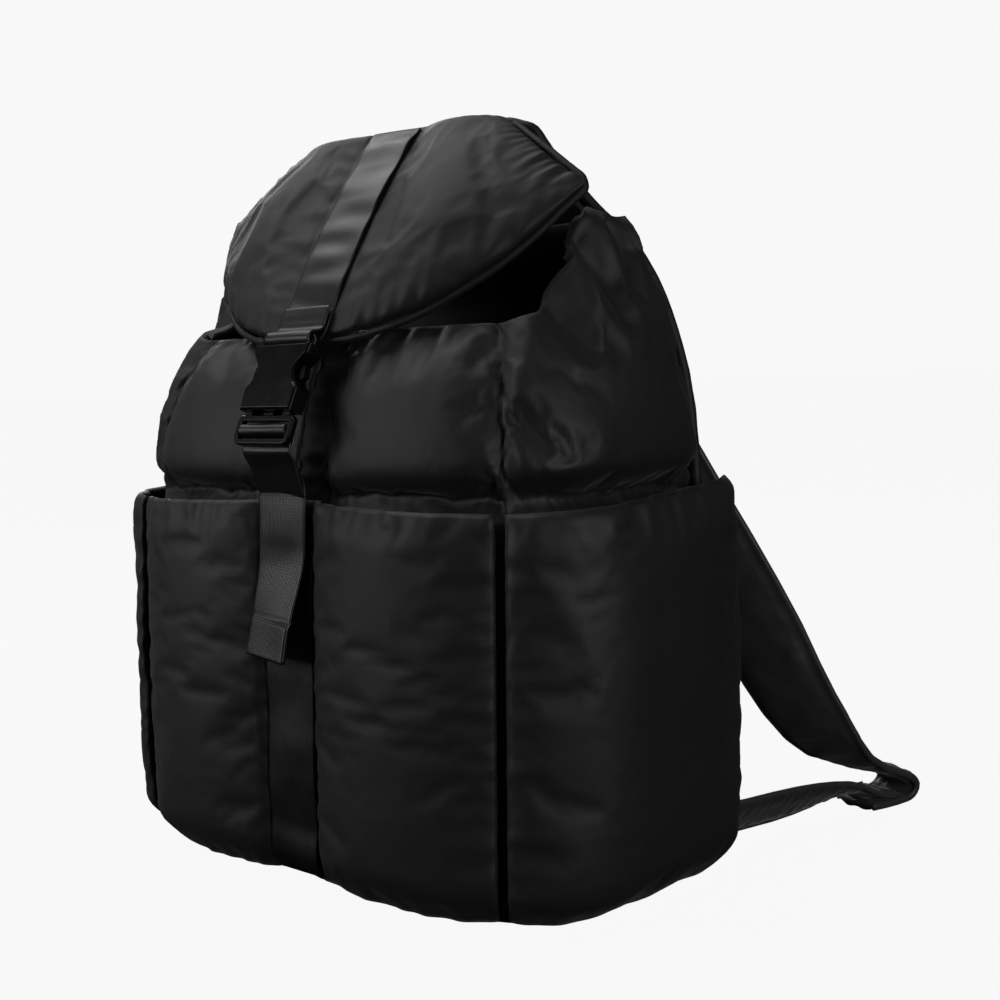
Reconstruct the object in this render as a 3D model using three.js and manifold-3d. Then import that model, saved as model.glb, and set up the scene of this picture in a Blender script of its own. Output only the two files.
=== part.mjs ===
// A quilted puffer backpack that stands on its base: a hollow padded bag with a gathered neck, two front pocket
// lobes, two side pockets, a padded flap with a piped rim, a webbing strap closed by a side-release buckle, a
// padded back panel with a bound edge and two shoulder straps that trail on the floor behind it.
// Millimetres. +Z is up, the front faces -Y, and the origin is the middle of the base panel's underside.
import * as THREE from "three";
import Module from "manifold-3d";
import { mergeVertices } from "three/addons/utils/BufferGeometryUtils.js";

const wasm = await Module();
wasm.setup();

// Main bag
const BODY_WIDTH = 330;
const BODY_FRONT = 95;
const BODY_BACK = 51;
const NECK_HEIGHT = 358;
const BODY_WALL = 7;
const BODY_PUFF = 13;
const RUFFLE_DEPTH = 6;
const RUFFLE_PITCH = 36;
const FRONT_SEAM_ANGLE = 43;
const BACK_SEAM_ANGLE = 40;
const FRONT_ROUNDING = 4;
const BACK_ROUNDING = 12;
const BACK_SPLAY = 0.045;
const NECK_CLIMB_START = 0.12;
const NECK_CLIMB_END = 0.68;

// Base panel
const BASE_THICKNESS = 4;
const BASE_MARGIN = -2;

// Pockets
const POCKET_HEIGHT = 211;
const POCKET_SPACE = 10;
const POCKET_HEM = 4;
const FRONT_POCKET_DEPTH = 20;
const SIDE_POCKET_FRONT_DEPTH = 30;
const SIDE_POCKET_BACK_DEPTH = 19;
const SIDE_POCKET_RISE = 9;
const POCKET_TOP_DROP = 3;

// Back panel
const BACK_HEIGHT = NECK_HEIGHT + 48;
const BACK_WIDTH = BODY_WIDTH - 4;
const BACK_THICKNESS = 10;
const BINDING_RADIUS = 3;

// Flap
const FLAP_HEIGHT = NECK_HEIGHT + 58;
const FLAP_SET_BACK = 4;
const FLAP_REAR_WIDTH = 164;
const FLAP_WIDTH = BODY_WIDTH - 38;
const FLAP_DROP = 122;
const FLAP_REACH = 78;
const FLAP_SIDE_CUT = 71;
const FLAP_DOME = 6;
const FLAP_PUFF = 13;
const FLAP_EDGE = 5;
const PIPING_RADIUS = 2.4;

// Webbing
const WEBBING_WIDTH = 38;
const WEBBING_THICKNESS = 1.6;
const WEBBING_SEAT = 22;
const TAIL_END_HEIGHT = 126;
const TAIL_SWAY = 6;

// Buckle
const BUCKLE_WIDTH = 46;
const BUCKLE_THICKNESS = 11;
const BUCKLE_TILT = 24;
const BUCKLE_TOP_HEIGHT = FLAP_HEIGHT - 117;
const BUCKLE_TOP_REACH = 87;
const SOCKET_LENGTH = 44;
const SOCKET_WALL = 2.6;
const PLUG_THICKNESS = 4;
const BAR = 3;
const SLOT = 3.8;
const CLASP_GAP = 0.5;
const MOUTH_GAP = 2;

// Shoulder straps
const STRAP_SPREAD = 190;
const STRAP_TRAIL = 240;
const STRAP_RISE = 370;
const STRAP_WIDTH = 56;
const STRAP_THICKNESS = 13;
const LOWER_STRAP_WIDTH = 36;
const LOWER_STRAP_THICKNESS = 5;

// Clearances
const SEAM_GAP = 0.8;
const SEAT_GAP = 0.4;

const black = (colour, roughness) =>
  new THREE.MeshStandardMaterial({ color: colour, roughness, metalness: 0 });
const NYLON = black(0x1b1b1d, 0.5);
const NYLON_DARK = black(0x0e0e0f, 0.7);
const WEBBING = black(0x0c0c0c, 0.4);
const PLASTIC = black(0x111112, 0.35);

const degrees = THREE.MathUtils.degToRad;
const lerp = THREE.MathUtils.lerp;
const clamp = THREE.MathUtils.clamp;
const smoothstep = THREE.MathUtils.smoothstep;

// Reads a table of rows at any value of its first column, straight between rows.
function readTable(rows, at) {
  let k = 1;
  while (k < rows.length - 1 && rows[k][0] < at) k++;
  const [low, high] = [rows[k - 1], rows[k]];
  const share = clamp((at - low[0]) / (high[0] - low[0]), 0, 1);
  return low.map((value, column) => lerp(value, high[column], share));
}

// A pillow's profile across a panel: nothing at both seams and full between them, squarer as power falls.
const pillow = (share, power) => Math.pow(clamp(4 * share * (1 - share), 0, 1), power);

// Spaces stations closer together near both seams, where a pillow is steep.
const ease = (share) => (1 - Math.cos(Math.PI * share)) / 2;

// Moves every vertex of a three.js geometry to where place puts it.
function mould(geometry, place) {
  const position = geometry.getAttribute("position");
  const vertex = new THREE.Vector3();
  for (let i = 0; i < position.count; i++) {
    vertex.fromBufferAttribute(position, i);
    const moved = place(vertex);
    position.setXYZ(i, moved.x, moved.y, moved.z);
  }
  geometry.deleteAttribute("normal");
  geometry.deleteAttribute("uv");
  return geometry;
}

// A padded sheet: a box of segments whose two broad faces follow face(u, v, side), side 1 outside and 0 inside.
function sheet(across, up, face) {
  return mould(new THREE.BoxGeometry(1, 1, 1, across, up, 1), (p) =>
    face(p.x + 0.5, p.y + 0.5, p.z > 0 ? 1 : 0),
  );
}

// A band along stations: a box whose length follows them and whose section is widened by sectionSegments.
// Each station holds its middle, the direction across it, its facing, and its width and thickness.
function band(stations, sectionSegments, crown) {
  const box = new THREE.BoxGeometry(1, 1, 1, sectionSegments, 1, stations.length - 1);
  return mould(box, (p) => {
    const s = stations[Math.round((p.z + 0.5) * (stations.length - 1))];
    const rim = 1 - crown * Math.pow(Math.abs(2 * p.x), 3);
    return s.middle
      .clone()
      .addScaledVector(s.across, p.x * s.width)
      .addScaledVector(s.facing, p.y * s.thickness * rim);
  });
}

function solidOf(geometry) {
  const rounded = geometry.getAttribute("position").array.map((value) => Math.round(value * 1e3) / 1e3);
  const bare = new THREE.BufferGeometry();
  bare.setAttribute("position", new THREE.Float32BufferAttribute(rounded, 3));
  if (geometry.index) bare.setIndex(geometry.index);
  const merged = mergeVertices(bare, 1e-4);
  return new wasm.Manifold(
    new wasm.Mesh({
      numProp: 3,
      vertProperties: merged.getAttribute("position").array,
      triVerts: new Uint32Array(merged.index.array),
    }),
  );
}

function geometryOf(solid) {
  const { vertProperties, triVerts } = solid.getMesh();
  const geometry = new THREE.BufferGeometry();
  geometry.setAttribute("position", new THREE.Float32BufferAttribute(vertProperties, 3));
  geometry.setIndex([...triVerts]);
  return geometry;
}

function named(name, geometry, material) {
  const mesh = new THREE.Mesh(geometry, material);
  mesh.name = name;
  return mesh;
}

// The left piece of a pair is the right one mirrored across the middle of the bag.
function pair(name, geometry, material) {
  const right = named(`${name}_right`, geometry, material);
  const left = named(`${name}_left`, geometry, material);
  left.scale.x = -1;
  return [right, left];
}

const HALF_WIDTH = BODY_WIDTH / 2;

// The back of the bag leans forward over the wearer's shoulders.
// Columns: height as a share of BACK_HEIGHT, the bag's back as a share of BODY_BACK, and the back panel's half
// width as a share of BACK_WIDTH / 2.
const BACK_LINE = [
  [0.012, 1.0, 0.94],
  [0.05, 1.0, 0.97],
  [0.3, 1.0, 0.97],
  [0.52, 1.0, 0.965],
  [0.67, 0.98, 0.93],
  [0.78, 0.88, 0.855],
  [0.83, 0.8, 0.79],
  [0.9, 0.64, 0.63],
  [0.97, 0.36, 0.53],
  [1.0, 0.2, 0.5],
];
const backAt = (z) => BODY_BACK * readTable(BACK_LINE, z / BACK_HEIGHT)[1];

// The bag's skin, row by row from the foot to the gathered neck.
// Columns: height at the front and at the back as shares of NECK_HEIGHT, half width as a share of HALF_WIDTH,
// front as a share of BODY_FRONT, puff as a share of BODY_PUFF, ruffle as a share of RUFFLE_DEPTH.
const SKIN = [
  [0.0135, 0.0135, 0.95, 0.95, 0, 0],
  [0.045, 0.045, 0.985, 1.0, 0, 0],
  [0.31, 0.31, 1.0, 0.98, 0, 0],
  [0.56, 0.56, 1.0, 0.94, 0, 0],
  [0.605, 0.605, 0.99, 0.93, 0, 0],
  [0.635, 0.635, 0.985, 0.92, 0.75, 0],
  [0.69, 0.7, 0.965, 0.87, 1.0, 0],
  [0.755, 0.8, 0.925, 0.79, 0.95, 0.15],
  [0.8, 0.885, 0.885, 0.71, 0.7, 0.45],
  [0.83, 0.955, 0.84, 0.65, 0.4, 0.8],
  [0.842, 1.0, 0.8, 0.62, 0.15, 1.0],
];
// The lining follows these rows of the skin from the neck down to the floor of the bag.
const LINING_ORDER = [10, 8, 7, 6, 4, 3, 1];
const LINING_SOFTNESS = 0.6;

function skinRow(index) {
  const [front, back, half, reach, puff, ruffle] = SKIN[index];
  const yFront = -reach * BODY_FRONT;
  const yBack = backAt(back * NECK_HEIGHT);
  return {
    zFront: front * NECK_HEIGHT,
    zBack: back * NECK_HEIGHT,
    halfWidth: half * HALF_WIDTH,
    yFront,
    yBack,
    middle: (yFront + yBack) / 2,
    puff: puff * BODY_PUFF,
    ruffle: ruffle * RUFFLE_DEPTH,
  };
}

// The plain lower skin at any height, where the pockets lie on it. extra carries it on behind the bag.
function skinAt(z, extra = 0) {
  const [height, , half, reach] = readTable(SKIN, z / NECK_HEIGHT);
  const yFront = -reach * BODY_FRONT;
  const yBack = backAt(height * NECK_HEIGHT);
  return {
    halfWidth: half * HALF_WIDTH,
    yFront,
    yBack: yBack + extra,
    middle: (yFront + yBack) / 2,
  };
}

// The right half of a row runs from the front centre to the front seam, the back seam and the back centre.
const PANELS = {
  front: [-90, -FRONT_SEAM_ANGLE],
  side: [-FRONT_SEAM_ANGLE, BACK_SEAM_ANGLE],
  back: [BACK_SEAM_ANGLE, 90],
};
const ARC_SAMPLES = 48;

// Half of a row's depth, ahead of its middle or behind it.
const halfDepth = (row, behind) => (behind ? row.yBack - row.middle : row.middle - row.yFront);

// A rounded rectangle in plan: its back corners are tighter than its front ones, and it widens towards the back.
function roundedPoint(row, angle) {
  const [c, s] = [Math.cos(degrees(angle)), Math.sin(degrees(angle))];
  const power = 2 / (s < 0 ? FRONT_ROUNDING : BACK_ROUNDING);
  const share = (value) => Math.sign(value) * Math.pow(Math.abs(value), power);
  const splay = 1 + (s > 0 ? BACK_SPLAY * share(s) : 0);
  return new THREE.Vector2(
    row.halfWidth * share(c) * splay,
    row.middle + halfDepth(row, s > 0) * share(s),
  );
}

// A point of a row's plan outline, a share of the way along one panel by length, with its outward normal.
function outlineAt(row, panel, share) {
  const [from, to] = PANELS[panel];
  const points = [];
  const lengths = [0];
  for (let i = 0; i <= ARC_SAMPLES; i++) {
    points.push(roundedPoint(row, lerp(from, to, i / ARC_SAMPLES)));
    if (i) lengths.push(lengths[i - 1] + points[i].distanceTo(points[i - 1]));
  }
  const wanted = share * lengths[ARC_SAMPLES];
  let k = 1;
  while (k < ARC_SAMPLES && lengths[k] < wanted) k++;
  const part = (wanted - lengths[k - 1]) / (lengths[k] - lengths[k - 1]);
  const point = points[k - 1].clone().lerp(points[k], clamp(part, 0, 1));
  const behind = point.y > row.middle;
  const rounding = behind ? BACK_ROUNDING : FRONT_ROUNDING;
  const slope = (value, half) =>
    (Math.sign(value) * Math.pow(Math.abs(value) / half, rounding - 1)) / half;
  const normal = new THREE.Vector2(
    slope(point.x, row.halfWidth * (behind ? 1 + BACK_SPLAY : 1)),
    slope(point.y - row.middle, halfDepth(row, behind)),
  ).normalize();
  return { point, normal, length: lengths[ARC_SAMPLES] };
}

// The neck is low in front and climbs over the side panels to its full height.
function heightIn(row, y) {
  const depth = (y - row.yFront) / (row.yBack - row.yFront);
  return lerp(row.zFront, row.zBack, smoothstep(depth, NECK_CLIMB_START, NECK_CLIMB_END));
}

// Part of the front panel stays flat beside its centre line, where the webbing lies.
const SEAT_SHARE = WEBBING_SEAT / 150;
const SEAT_STEP = 1 / 8;
function panelShare(panel, part) {
  if (panel !== "front") return ease(part);
  if (part <= SEAT_STEP) return (part / SEAT_STEP) * SEAT_SHARE;
  return lerp(SEAT_SHARE, 1, ease((part - SEAT_STEP) / (1 - SEAT_STEP)));
}

// How far across the padded part of its panel a share lies.
function paddedShare(panel, share) {
  return panel === "front" ? (share - SEAT_SHARE) / (1 - SEAT_SHARE) : share;
}

const PUFF_POWER = { front: 0.5, side: 0.4, back: 1 };
const PUFF_SHARE = { front: 0.8, side: 1, back: 0 };

function skinPoint(row, station, inset, softness) {
  const { panel, share, mirror } = station;
  const { point, normal, length } = outlineAt(row, panel, share);
  const across = paddedShare(panel, share);
  const puff = row.puff * PUFF_SHARE[panel] * pillow(across, PUFF_POWER[panel]);
  const waves = Math.max(1, Math.round(length / RUFFLE_PITCH));
  const wave = panel === "back" ? 0 : Math.sin(2 * Math.PI * waves * across) * pillow(across, 0.5);
  const out = (puff + row.ruffle * wave) * softness - inset;
  const placed = point.addScaledVector(normal, out);
  return new THREE.Vector3(mirror * placed.x, placed.y, heightIn(row, placed.y));
}

// Stations once round the bag, from the front centre past the right side.
const STATIONS_PER_PANEL = { front: 8, side: 18, back: 5 };
function ringStations() {
  const right = Object.entries(STATIONS_PER_PANEL).flatMap(([panel, count]) =>
    Array.from({ length: count }, (_, i) => ({
      panel,
      share: panelShare(panel, i / count),
      mirror: 1,
    })),
  );
  const backCentre = { panel: "back", share: 1, mirror: 1 };
  const left = right.slice(1).reverse();
  return [...right, backCentre, ...left.map((s) => ({ ...s, mirror: -1 }))];
}

function mainBag() {
  const stations = ringStations();
  const outer = SKIN.map((_, i) => ({ row: skinRow(i), inset: 0, softness: 1 }));
  const inner = LINING_ORDER.map((i) => ({
    row: skinRow(i),
    inset: BODY_WALL,
    softness: LINING_SOFTNESS,
  }));
  const rings = [...outer, ...inner];
  const profile = [new THREE.Vector2(0, 0)];
  rings.forEach((_, i) => profile.push(new THREE.Vector2(1, i + 1)));
  profile.push(new THREE.Vector2(0, rings.length + 1));
  const lathe = new THREE.LatheGeometry(profile, stations.length);
  return mould(lathe, (p) => {
    const level = Math.round(p.y);
    if (level === 0) return new THREE.Vector3(0, 0, rings[0].row.zFront);
    if (level > rings.length) return new THREE.Vector3(0, 0, rings[rings.length - 1].row.zFront);
    const turn = Math.atan2(p.x, p.z) / (2 * Math.PI);
    const station = stations[(Math.round(turn * stations.length) + stations.length) % stations.length];
    const { row, inset, softness } = rings[level - 1];
    return skinPoint(row, station, inset, softness);
  });
}

// A flat panel under the bag: the foot's outline grown by a margin.
function basePanel() {
  const row = skinRow(0);
  const outline = new THREE.Shape(
    ringStations().map((station) => {
      const p = skinPoint(row, station, -BASE_MARGIN, 0);
      return new THREE.Vector2(p.x, p.y);
    }),
  );
  return new THREE.ExtrudeGeometry(outline, { depth: BASE_THICKNESS, bevelEnabled: false });
}

// How far a pocket wall stands off the bag as it climbs.
// Columns: height as a share of the pocket's, outside as a share of full depth, inside as a share of POCKET_SPACE.
const POCKET_CLIMB = [
  [0, 0.05, 0.0],
  [0.02, 0.38, 0.0],
  [0.055, 0.68, 0.1],
  [0.12, 0.9, 0.6],
  [0.24, 1.0, 1.0],
  [0.5, 1.0, 1.0],
  [0.78, 0.98, 1.0],
  [0.92, 0.96, 1.0],
  [0.98, 0.9, 1.0],
  [1, 0.74, 1.0],
];
const POCKET_ROWS = POCKET_CLIMB.length - 1;
const POCKET_FOOT = BASE_THICKNESS + SEAM_GAP;
const POCKET_SEAM = { front: [0.004, 0.985], side: [0.015, 0.985] };
const POCKET_SWELL = { front: 0.42, side: 0.34 };
const POCKET_WRAP = { front: 0, side: BACK_THICKNESS };
const SIDE_POCKET_EDGE = 0.55;

// How fully a pocket wall swells across its panel. The side pocket's back edge stays thick beside the back panel.
function swellAcross(panel, across) {
  const full = pillow(across, POCKET_SWELL[panel]);
  return panel === "side" && across > 0.5 ? Math.max(full, SIDE_POCKET_EDGE) : full;
}

// A pocket wall sewn to the bag at its sides and foot and open at the top.
function pocketWall(panel, columns, depthAt, topAt) {
  const [from, to] = POCKET_SEAM[panel];
  return sheet(columns, POCKET_ROWS, (a, b, outside) => {
    const share = lerp(from, to, panelShare(panel, a));
    const across = clamp(paddedShare(panel, panelShare(panel, a)), 0, 1);
    const [climb, swell, space] = POCKET_CLIMB[Math.round(b * POCKET_ROWS)];
    const z = lerp(POCKET_FOOT, topAt(across), climb);
    const skin = outlineAt(skinAt(z, POCKET_WRAP[panel]), panel, share);
    const inner = SEAM_GAP + POCKET_SPACE * space * pillow(across, 0.6);
    const hem = SEAM_GAP + POCKET_HEM;
    const full = (depthAt(across) - hem) * swell * swellAcross(panel, across);
    const outer = Math.max(inner + POCKET_HEM, hem + full);
    const p = skin.point.addScaledVector(skin.normal, outside ? outer : inner);
    return new THREE.Vector3(p.x, p.y, z);
  });
}

function frontPocket() {
  const topAt = (across) => POCKET_HEIGHT - POCKET_TOP_DROP * across;
  return pocketWall("front", STATIONS_PER_PANEL.front * 2, () => FRONT_POCKET_DEPTH, topAt);
}

// The side pocket swells most round the bag's front corner and thins towards the back seam.
function sidePocket() {
  const depthAt = (across) => lerp(SIDE_POCKET_FRONT_DEPTH, SIDE_POCKET_BACK_DEPTH, across);
  const topAt = (across) => POCKET_HEIGHT - POCKET_TOP_DROP + SIDE_POCKET_RISE * across;
  return pocketWall("side", STATIONS_PER_PANEL.side, depthAt, topAt);
}

// The back panel's middle surface at a height: where it lies, its normal in the plane x = 0, its half width.
function backSurface(z) {
  const step = 1;
  const half = (readTable(BACK_LINE, z / BACK_HEIGHT)[2] * BACK_WIDTH) / 2;
  const rise = new THREE.Vector2(backAt(z + step) - backAt(z - step), 2 * step).normalize();
  const normal = new THREE.Vector2(rise.y, -rise.x);
  const away = SEAM_GAP + BACK_THICKNESS / 2;
  return { y: backAt(z) + away * normal.x, z: z + away * normal.y, normal, rise, half };
}

const BACK_COLUMNS = 10;
const BACK_EDGE_SHARE = 0.35;
function backPanel() {
  const rows = BACK_LINE.length - 1;
  return sheet(BACK_COLUMNS, rows, (a, b, outside) => {
    const s = backSurface(BACK_LINE[Math.round(b * rows)][0] * BACK_HEIGHT);
    const across = ease(a);
    const pad = lerp(BACK_EDGE_SHARE, 1, pillow(across, 0.5)) * (BACK_THICKNESS / 2);
    const off = outside ? pad : -BACK_THICKNESS / 2;
    return new THREE.Vector3((1 - 2 * across) * s.half, s.y + off * s.normal.x, s.z + off * s.normal.y);
  });
}

// A round cord of constant section along a smooth path.
function tube(points, radius, steps, sides) {
  const section = new THREE.Shape(
    Array.from({ length: sides }, (_, i) => {
      const turn = (2 * Math.PI * i) / sides;
      return new THREE.Vector2(radius * Math.cos(turn), radius * Math.sin(turn));
    }),
  );
  const extrudePath = new THREE.CatmullRomCurve3(points, false, "centripetal");
  return new THREE.ExtrudeGeometry(section, { steps, bevelEnabled: false, extrudePath });
}

// A path given for the right half, joined to its mirror image.
const mirrored = (right) => [
  ...right,
  ...right
    .filter((p) => p.x > 0)
    .map((p) => new THREE.Vector3(-p.x, p.y, p.z))
    .reverse(),
];

// The binding closes the back panel's edge up both sides and over the top.
function backBinding() {
  const out = BINDING_RADIUS + SEAT_GAP + 0.7;
  const side = BACK_LINE.slice(1, -1).map(([share]) => {
    const z = share * BACK_HEIGHT;
    const s = backSurface(z);
    const lean = new THREE.Vector2(backSurface(z + 1).half - backSurface(z - 1).half, 2).normalize();
    return new THREE.Vector3(
      s.half + out * lean.y,
      s.y - out * lean.x * s.rise.x,
      s.z - out * lean.x * s.rise.y,
    );
  });
  const top = backSurface(BACK_HEIGHT);
  const over = (across, lift) =>
    new THREE.Vector3(
      across * top.half,
      top.y + out * lift * top.rise.x,
      top.z + out * lift * top.rise.y,
    );
  const path = [...side, over(1.05, 0.85), over(0.94, 1.3), over(0.5, 1.3), over(0, 1.3)];
  return tube(mirrored(path), BINDING_RADIUS, 56, 6);
}

// The flap's rim from its middle to its side corner.
// Columns: share across, height below the rear edge as a share of FLAP_DROP.
const FLAP_RIM = [
  [0, 1.0],
  [0.19, 0.985],
  [0.38, 0.945],
  [0.53, 0.885],
  [0.65, 0.8],
  [0.77, 0.695],
  [0.87, 0.57],
  [0.94, 0.46],
  [1.0, 0.37],
];
const RIM_CURVE = 2.5;
const REAR_SAG = 4;

const flapHalfWidth = (v) => lerp(FLAP_REAR_WIDTH, FLAP_WIDTH, v) / 2;

// The flap's middle surface: u runs -1 to 1 across it, v from the rear edge to the rim.
function flapMiddle(u, v) {
  const side = Math.abs(u);
  const y = lerp(FLAP_SET_BACK, -FLAP_REACH + FLAP_SIDE_CUT * Math.pow(side, RIM_CURVE), v);
  const drop = lerp((REAR_SAG * u * u) / FLAP_DROP, readTable(FLAP_RIM, side)[1], v) * FLAP_DROP;
  const dome = FLAP_DOME * pillow(v, 0.7) * (1 - 0.5 * side ** 4);
  return new THREE.Vector3(u * flapHalfWidth(v), y - 0.8 * dome, FLAP_HEIGHT - drop + 0.6 * dome);
}

function flapNormal(u, v) {
  const step = 0.02;
  const across = flapMiddle(u + step, v).sub(flapMiddle(u - step, v));
  const down = flapMiddle(u, Math.min(v + step, 1)).sub(flapMiddle(u, Math.max(v - step, 0)));
  return down.cross(across).normalize();
}

const FLAP_COLUMNS = 18;
const FLAP_ROWS = 9;
const FLAP_PULL = 6.5;
function flap() {
  const seatPart = 2 / FLAP_COLUMNS;
  return sheet(FLAP_COLUMNS, FLAP_ROWS, (a, b, outside) => {
    const t = 1 - 2 * a;
    const column = flapMiddle(Math.sign(t) * 0.5, 0).distanceTo(flapMiddle(Math.sign(t) * 0.5, 1));
    const v = ease(b) * (1 - (PIPING_RADIUS + SEAT_GAP + 0.4) / column);
    const half = flapHalfWidth(v) - FLAP_PULL;
    const part = Math.abs(t);
    const padded = clamp((part - seatPart) / (1 - seatPart), 0, 1);
    const x = part <= seatPart ? (part / seatPart) * WEBBING_SEAT : lerp(WEBBING_SEAT, half, ease(padded));
    const u = (Math.sign(t) * x) / flapHalfWidth(v);
    const puff = FLAP_PUFF * pillow(ease(padded), 0.5) * pillow(ease(b), 0.5);
    const off = outside ? FLAP_EDGE / 2 + puff : -FLAP_EDGE / 2;
    return flapMiddle(u, v).addScaledVector(flapNormal(u, v), off);
  });
}

// Piping runs down the flap's side edges and round its rim.
function flapPiping() {
  const sideEdge = [0.08, 0.3, 0.55, 0.8, 0.95].map((v) => flapMiddle(0.995, v));
  const corner = flapMiddle(0.985, 1);
  const rim = [0.94, 0.87, 0.77, 0.65, 0.53, 0.38, 0.19, 0].map((u) => flapMiddle(u, 1));
  return tube(mirrored([...sideEdge, corner, ...rim]), PIPING_RADIUS, 64, 5);
}

// The buckle's own frame: x across, h down from the socket's top, n outward from its middle plane.
const tilt = degrees(BUCKLE_TILT);
const BUCKLE_TOP = new THREE.Vector3(0, -BUCKLE_TOP_REACH, BUCKLE_TOP_HEIGHT);
const BUCKLE_UP = new THREE.Vector3(0, Math.sin(tilt), Math.cos(tilt));
const BUCKLE_OUT = new THREE.Vector3(0, -Math.cos(tilt), Math.sin(tilt));
const onBuckle = (h, n) =>
  BUCKLE_TOP.clone().addScaledVector(BUCKLE_UP, -h).addScaledVector(BUCKLE_OUT, n);
const buckleFrame = new THREE.Matrix4()
  .makeBasis(new THREE.Vector3(1, 0, 0), BUCKLE_UP, BUCKLE_OUT)
  .setPosition(BUCKLE_TOP);

// A flat moulding: an outline of [x, h] points given for its right half, chamfered all round, with slots cut
// right through it between two heights.
function moulding(rightOutline, slots, thickness, chamfer) {
  const right = rightOutline.map(([x, h]) => new THREE.Vector2(x, -h));
  const left = right.map((p) => new THREE.Vector2(-p.x, p.y)).reverse();
  const geometry = new THREE.ExtrudeGeometry(new THREE.Shape([...left, ...right]), {
    depth: thickness - 2 * chamfer,
    bevelThickness: chamfer,
    bevelSize: chamfer,
    bevelOffset: -chamfer,
    bevelSegments: 1,
  });
  geometry.translate(0, 0, chamfer - thickness / 2);
  return slots.reduce((solid, [top, foot]) => {
    const slot = new THREE.BoxGeometry(2 * SLOT_HALF, foot - top, 2 * thickness);
    slot.translate(0, -(top + foot) / 2, 0);
    return solid.subtract(solidOf(slot));
  }, solidOf(geometry));
}

const SLOT_HALF = WEBBING_WIDTH / 2 + CLASP_GAP;
const BUCKLE_HALF = BUCKLE_WIDTH / 2;
const NOTCH_TOP = 12;
const NOTCH_FOOT = 31;
const NOTCH_DEPTH = 8;
const CAVITY_TOP = 14;
const BAR_HALF = 2.2;

// The socket: a top bar with a slot, a hollow body and a notch each side where the plug's prongs show.
function buckleSocket() {
  const outline = [
    [BUCKLE_HALF - 3, 0],
    [BUCKLE_HALF, 3],
    [BUCKLE_HALF - 1, NOTCH_TOP],
    [BUCKLE_HALF - NOTCH_DEPTH * 0.7, NOTCH_TOP + 5],
    [BUCKLE_HALF - NOTCH_DEPTH, (NOTCH_TOP + NOTCH_FOOT) / 2],
    [BUCKLE_HALF - NOTCH_DEPTH * 0.6, NOTCH_FOOT - 3],
    [BUCKLE_HALF - 1.6, NOTCH_FOOT],
    [BUCKLE_HALF - 2, SOCKET_LENGTH],
  ];
  const shell = moulding(outline, [[BAR, BAR + SLOT]], BUCKLE_THICKNESS, 1.2);
  const depth = SOCKET_LENGTH - CAVITY_TOP + 2;
  const cavity = new THREE.BoxGeometry(
    BUCKLE_WIDTH - 4 - 2 * SOCKET_WALL,
    depth,
    BUCKLE_THICKNESS - 2 * SOCKET_WALL,
  ).translate(0, -CAVITY_TOP - depth / 2, 0);
  const thin = BUCKLE_THICKNESS / 2 - BAR_HALF;
  const relief = [-1, 1].map((side) =>
    solidOf(
      new THREE.BoxGeometry(BUCKLE_WIDTH + 2, BAR + SLOT, thin + 1).translate(
        0,
        -(BAR + SLOT) / 2 + 0.7,
        side * (BAR_HALF + (thin + 1) / 2),
      ),
    ),
  );
  const socket = relief.reduce((solid, cut) => solid.subtract(cut), shell.subtract(solidOf(cavity)));
  return geometryOf(socket).applyMatrix4(buckleFrame);
}

const PLUG_TOP = SOCKET_LENGTH + MOUTH_GAP;
const PLUG_BARS = [0, 1, 2].map((i) => PLUG_TOP + i * (BAR + SLOT));
const PLUG_LENGTH = 3 * BAR + 2 * SLOT;

// The plug: a frame with three bars, and two prongs and a guide that reach up inside the socket.
function bucklePlug() {
  const foot = PLUG_TOP + PLUG_LENGTH;
  const outline = [
    [BUCKLE_HALF - 2, PLUG_TOP],
    [BUCKLE_HALF, PLUG_TOP + 2],
    [BUCKLE_HALF, foot - 5],
    [BUCKLE_HALF - 1.2, foot - 1.6],
    [BUCKLE_HALF - 4, foot],
  ];
  const slots = PLUG_BARS.slice(0, 2).map((top) => [top + BAR, top + BAR + SLOT]);
  const frame = moulding(outline, slots, PLUG_THICKNESS, 0.6);
  const armOuter = BUCKLE_HALF - 2 - SOCKET_WALL - CLASP_GAP;
  const prong = new THREE.Shape([
    new THREE.Vector2(armOuter - 5, -PLUG_TOP - BAR / 2),
    new THREE.Vector2(armOuter, -PLUG_TOP - BAR / 2),
    new THREE.Vector2(armOuter, -NOTCH_FOOT - 1),
    new THREE.Vector2(armOuter - 0.7, -NOTCH_FOOT + 4),
    new THREE.Vector2(BUCKLE_HALF - 1.6, -NOTCH_FOOT + 6.5),
    new THREE.Vector2(BUCKLE_HALF - 2.4, -NOTCH_TOP - 6),
    new THREE.Vector2(BUCKLE_HALF - 5.5, -NOTCH_TOP - 5),
    new THREE.Vector2(armOuter - 5, -NOTCH_TOP - 9),
  ]);
  const arm = new THREE.ExtrudeGeometry(prong, { depth: PLUG_THICKNESS, bevelEnabled: false });
  arm.translate(0, 0, -PLUG_THICKNESS / 2);
  const rightArm = solidOf(arm);
  const guideLength = PLUG_TOP + BAR / 2 - CAVITY_TOP - 6;
  const guide = new THREE.BoxGeometry(8, guideLength, PLUG_THICKNESS / 2);
  guide.translate(0, -PLUG_TOP - BAR / 2 + guideLength / 2, 0);
  const plug = frame
    .add(rightArm)
    .add(rightArm.mirror([1, 0, 0]))
    .add(solidOf(guide));
  return geometryOf(plug).applyMatrix4(buckleFrame);
}

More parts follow.
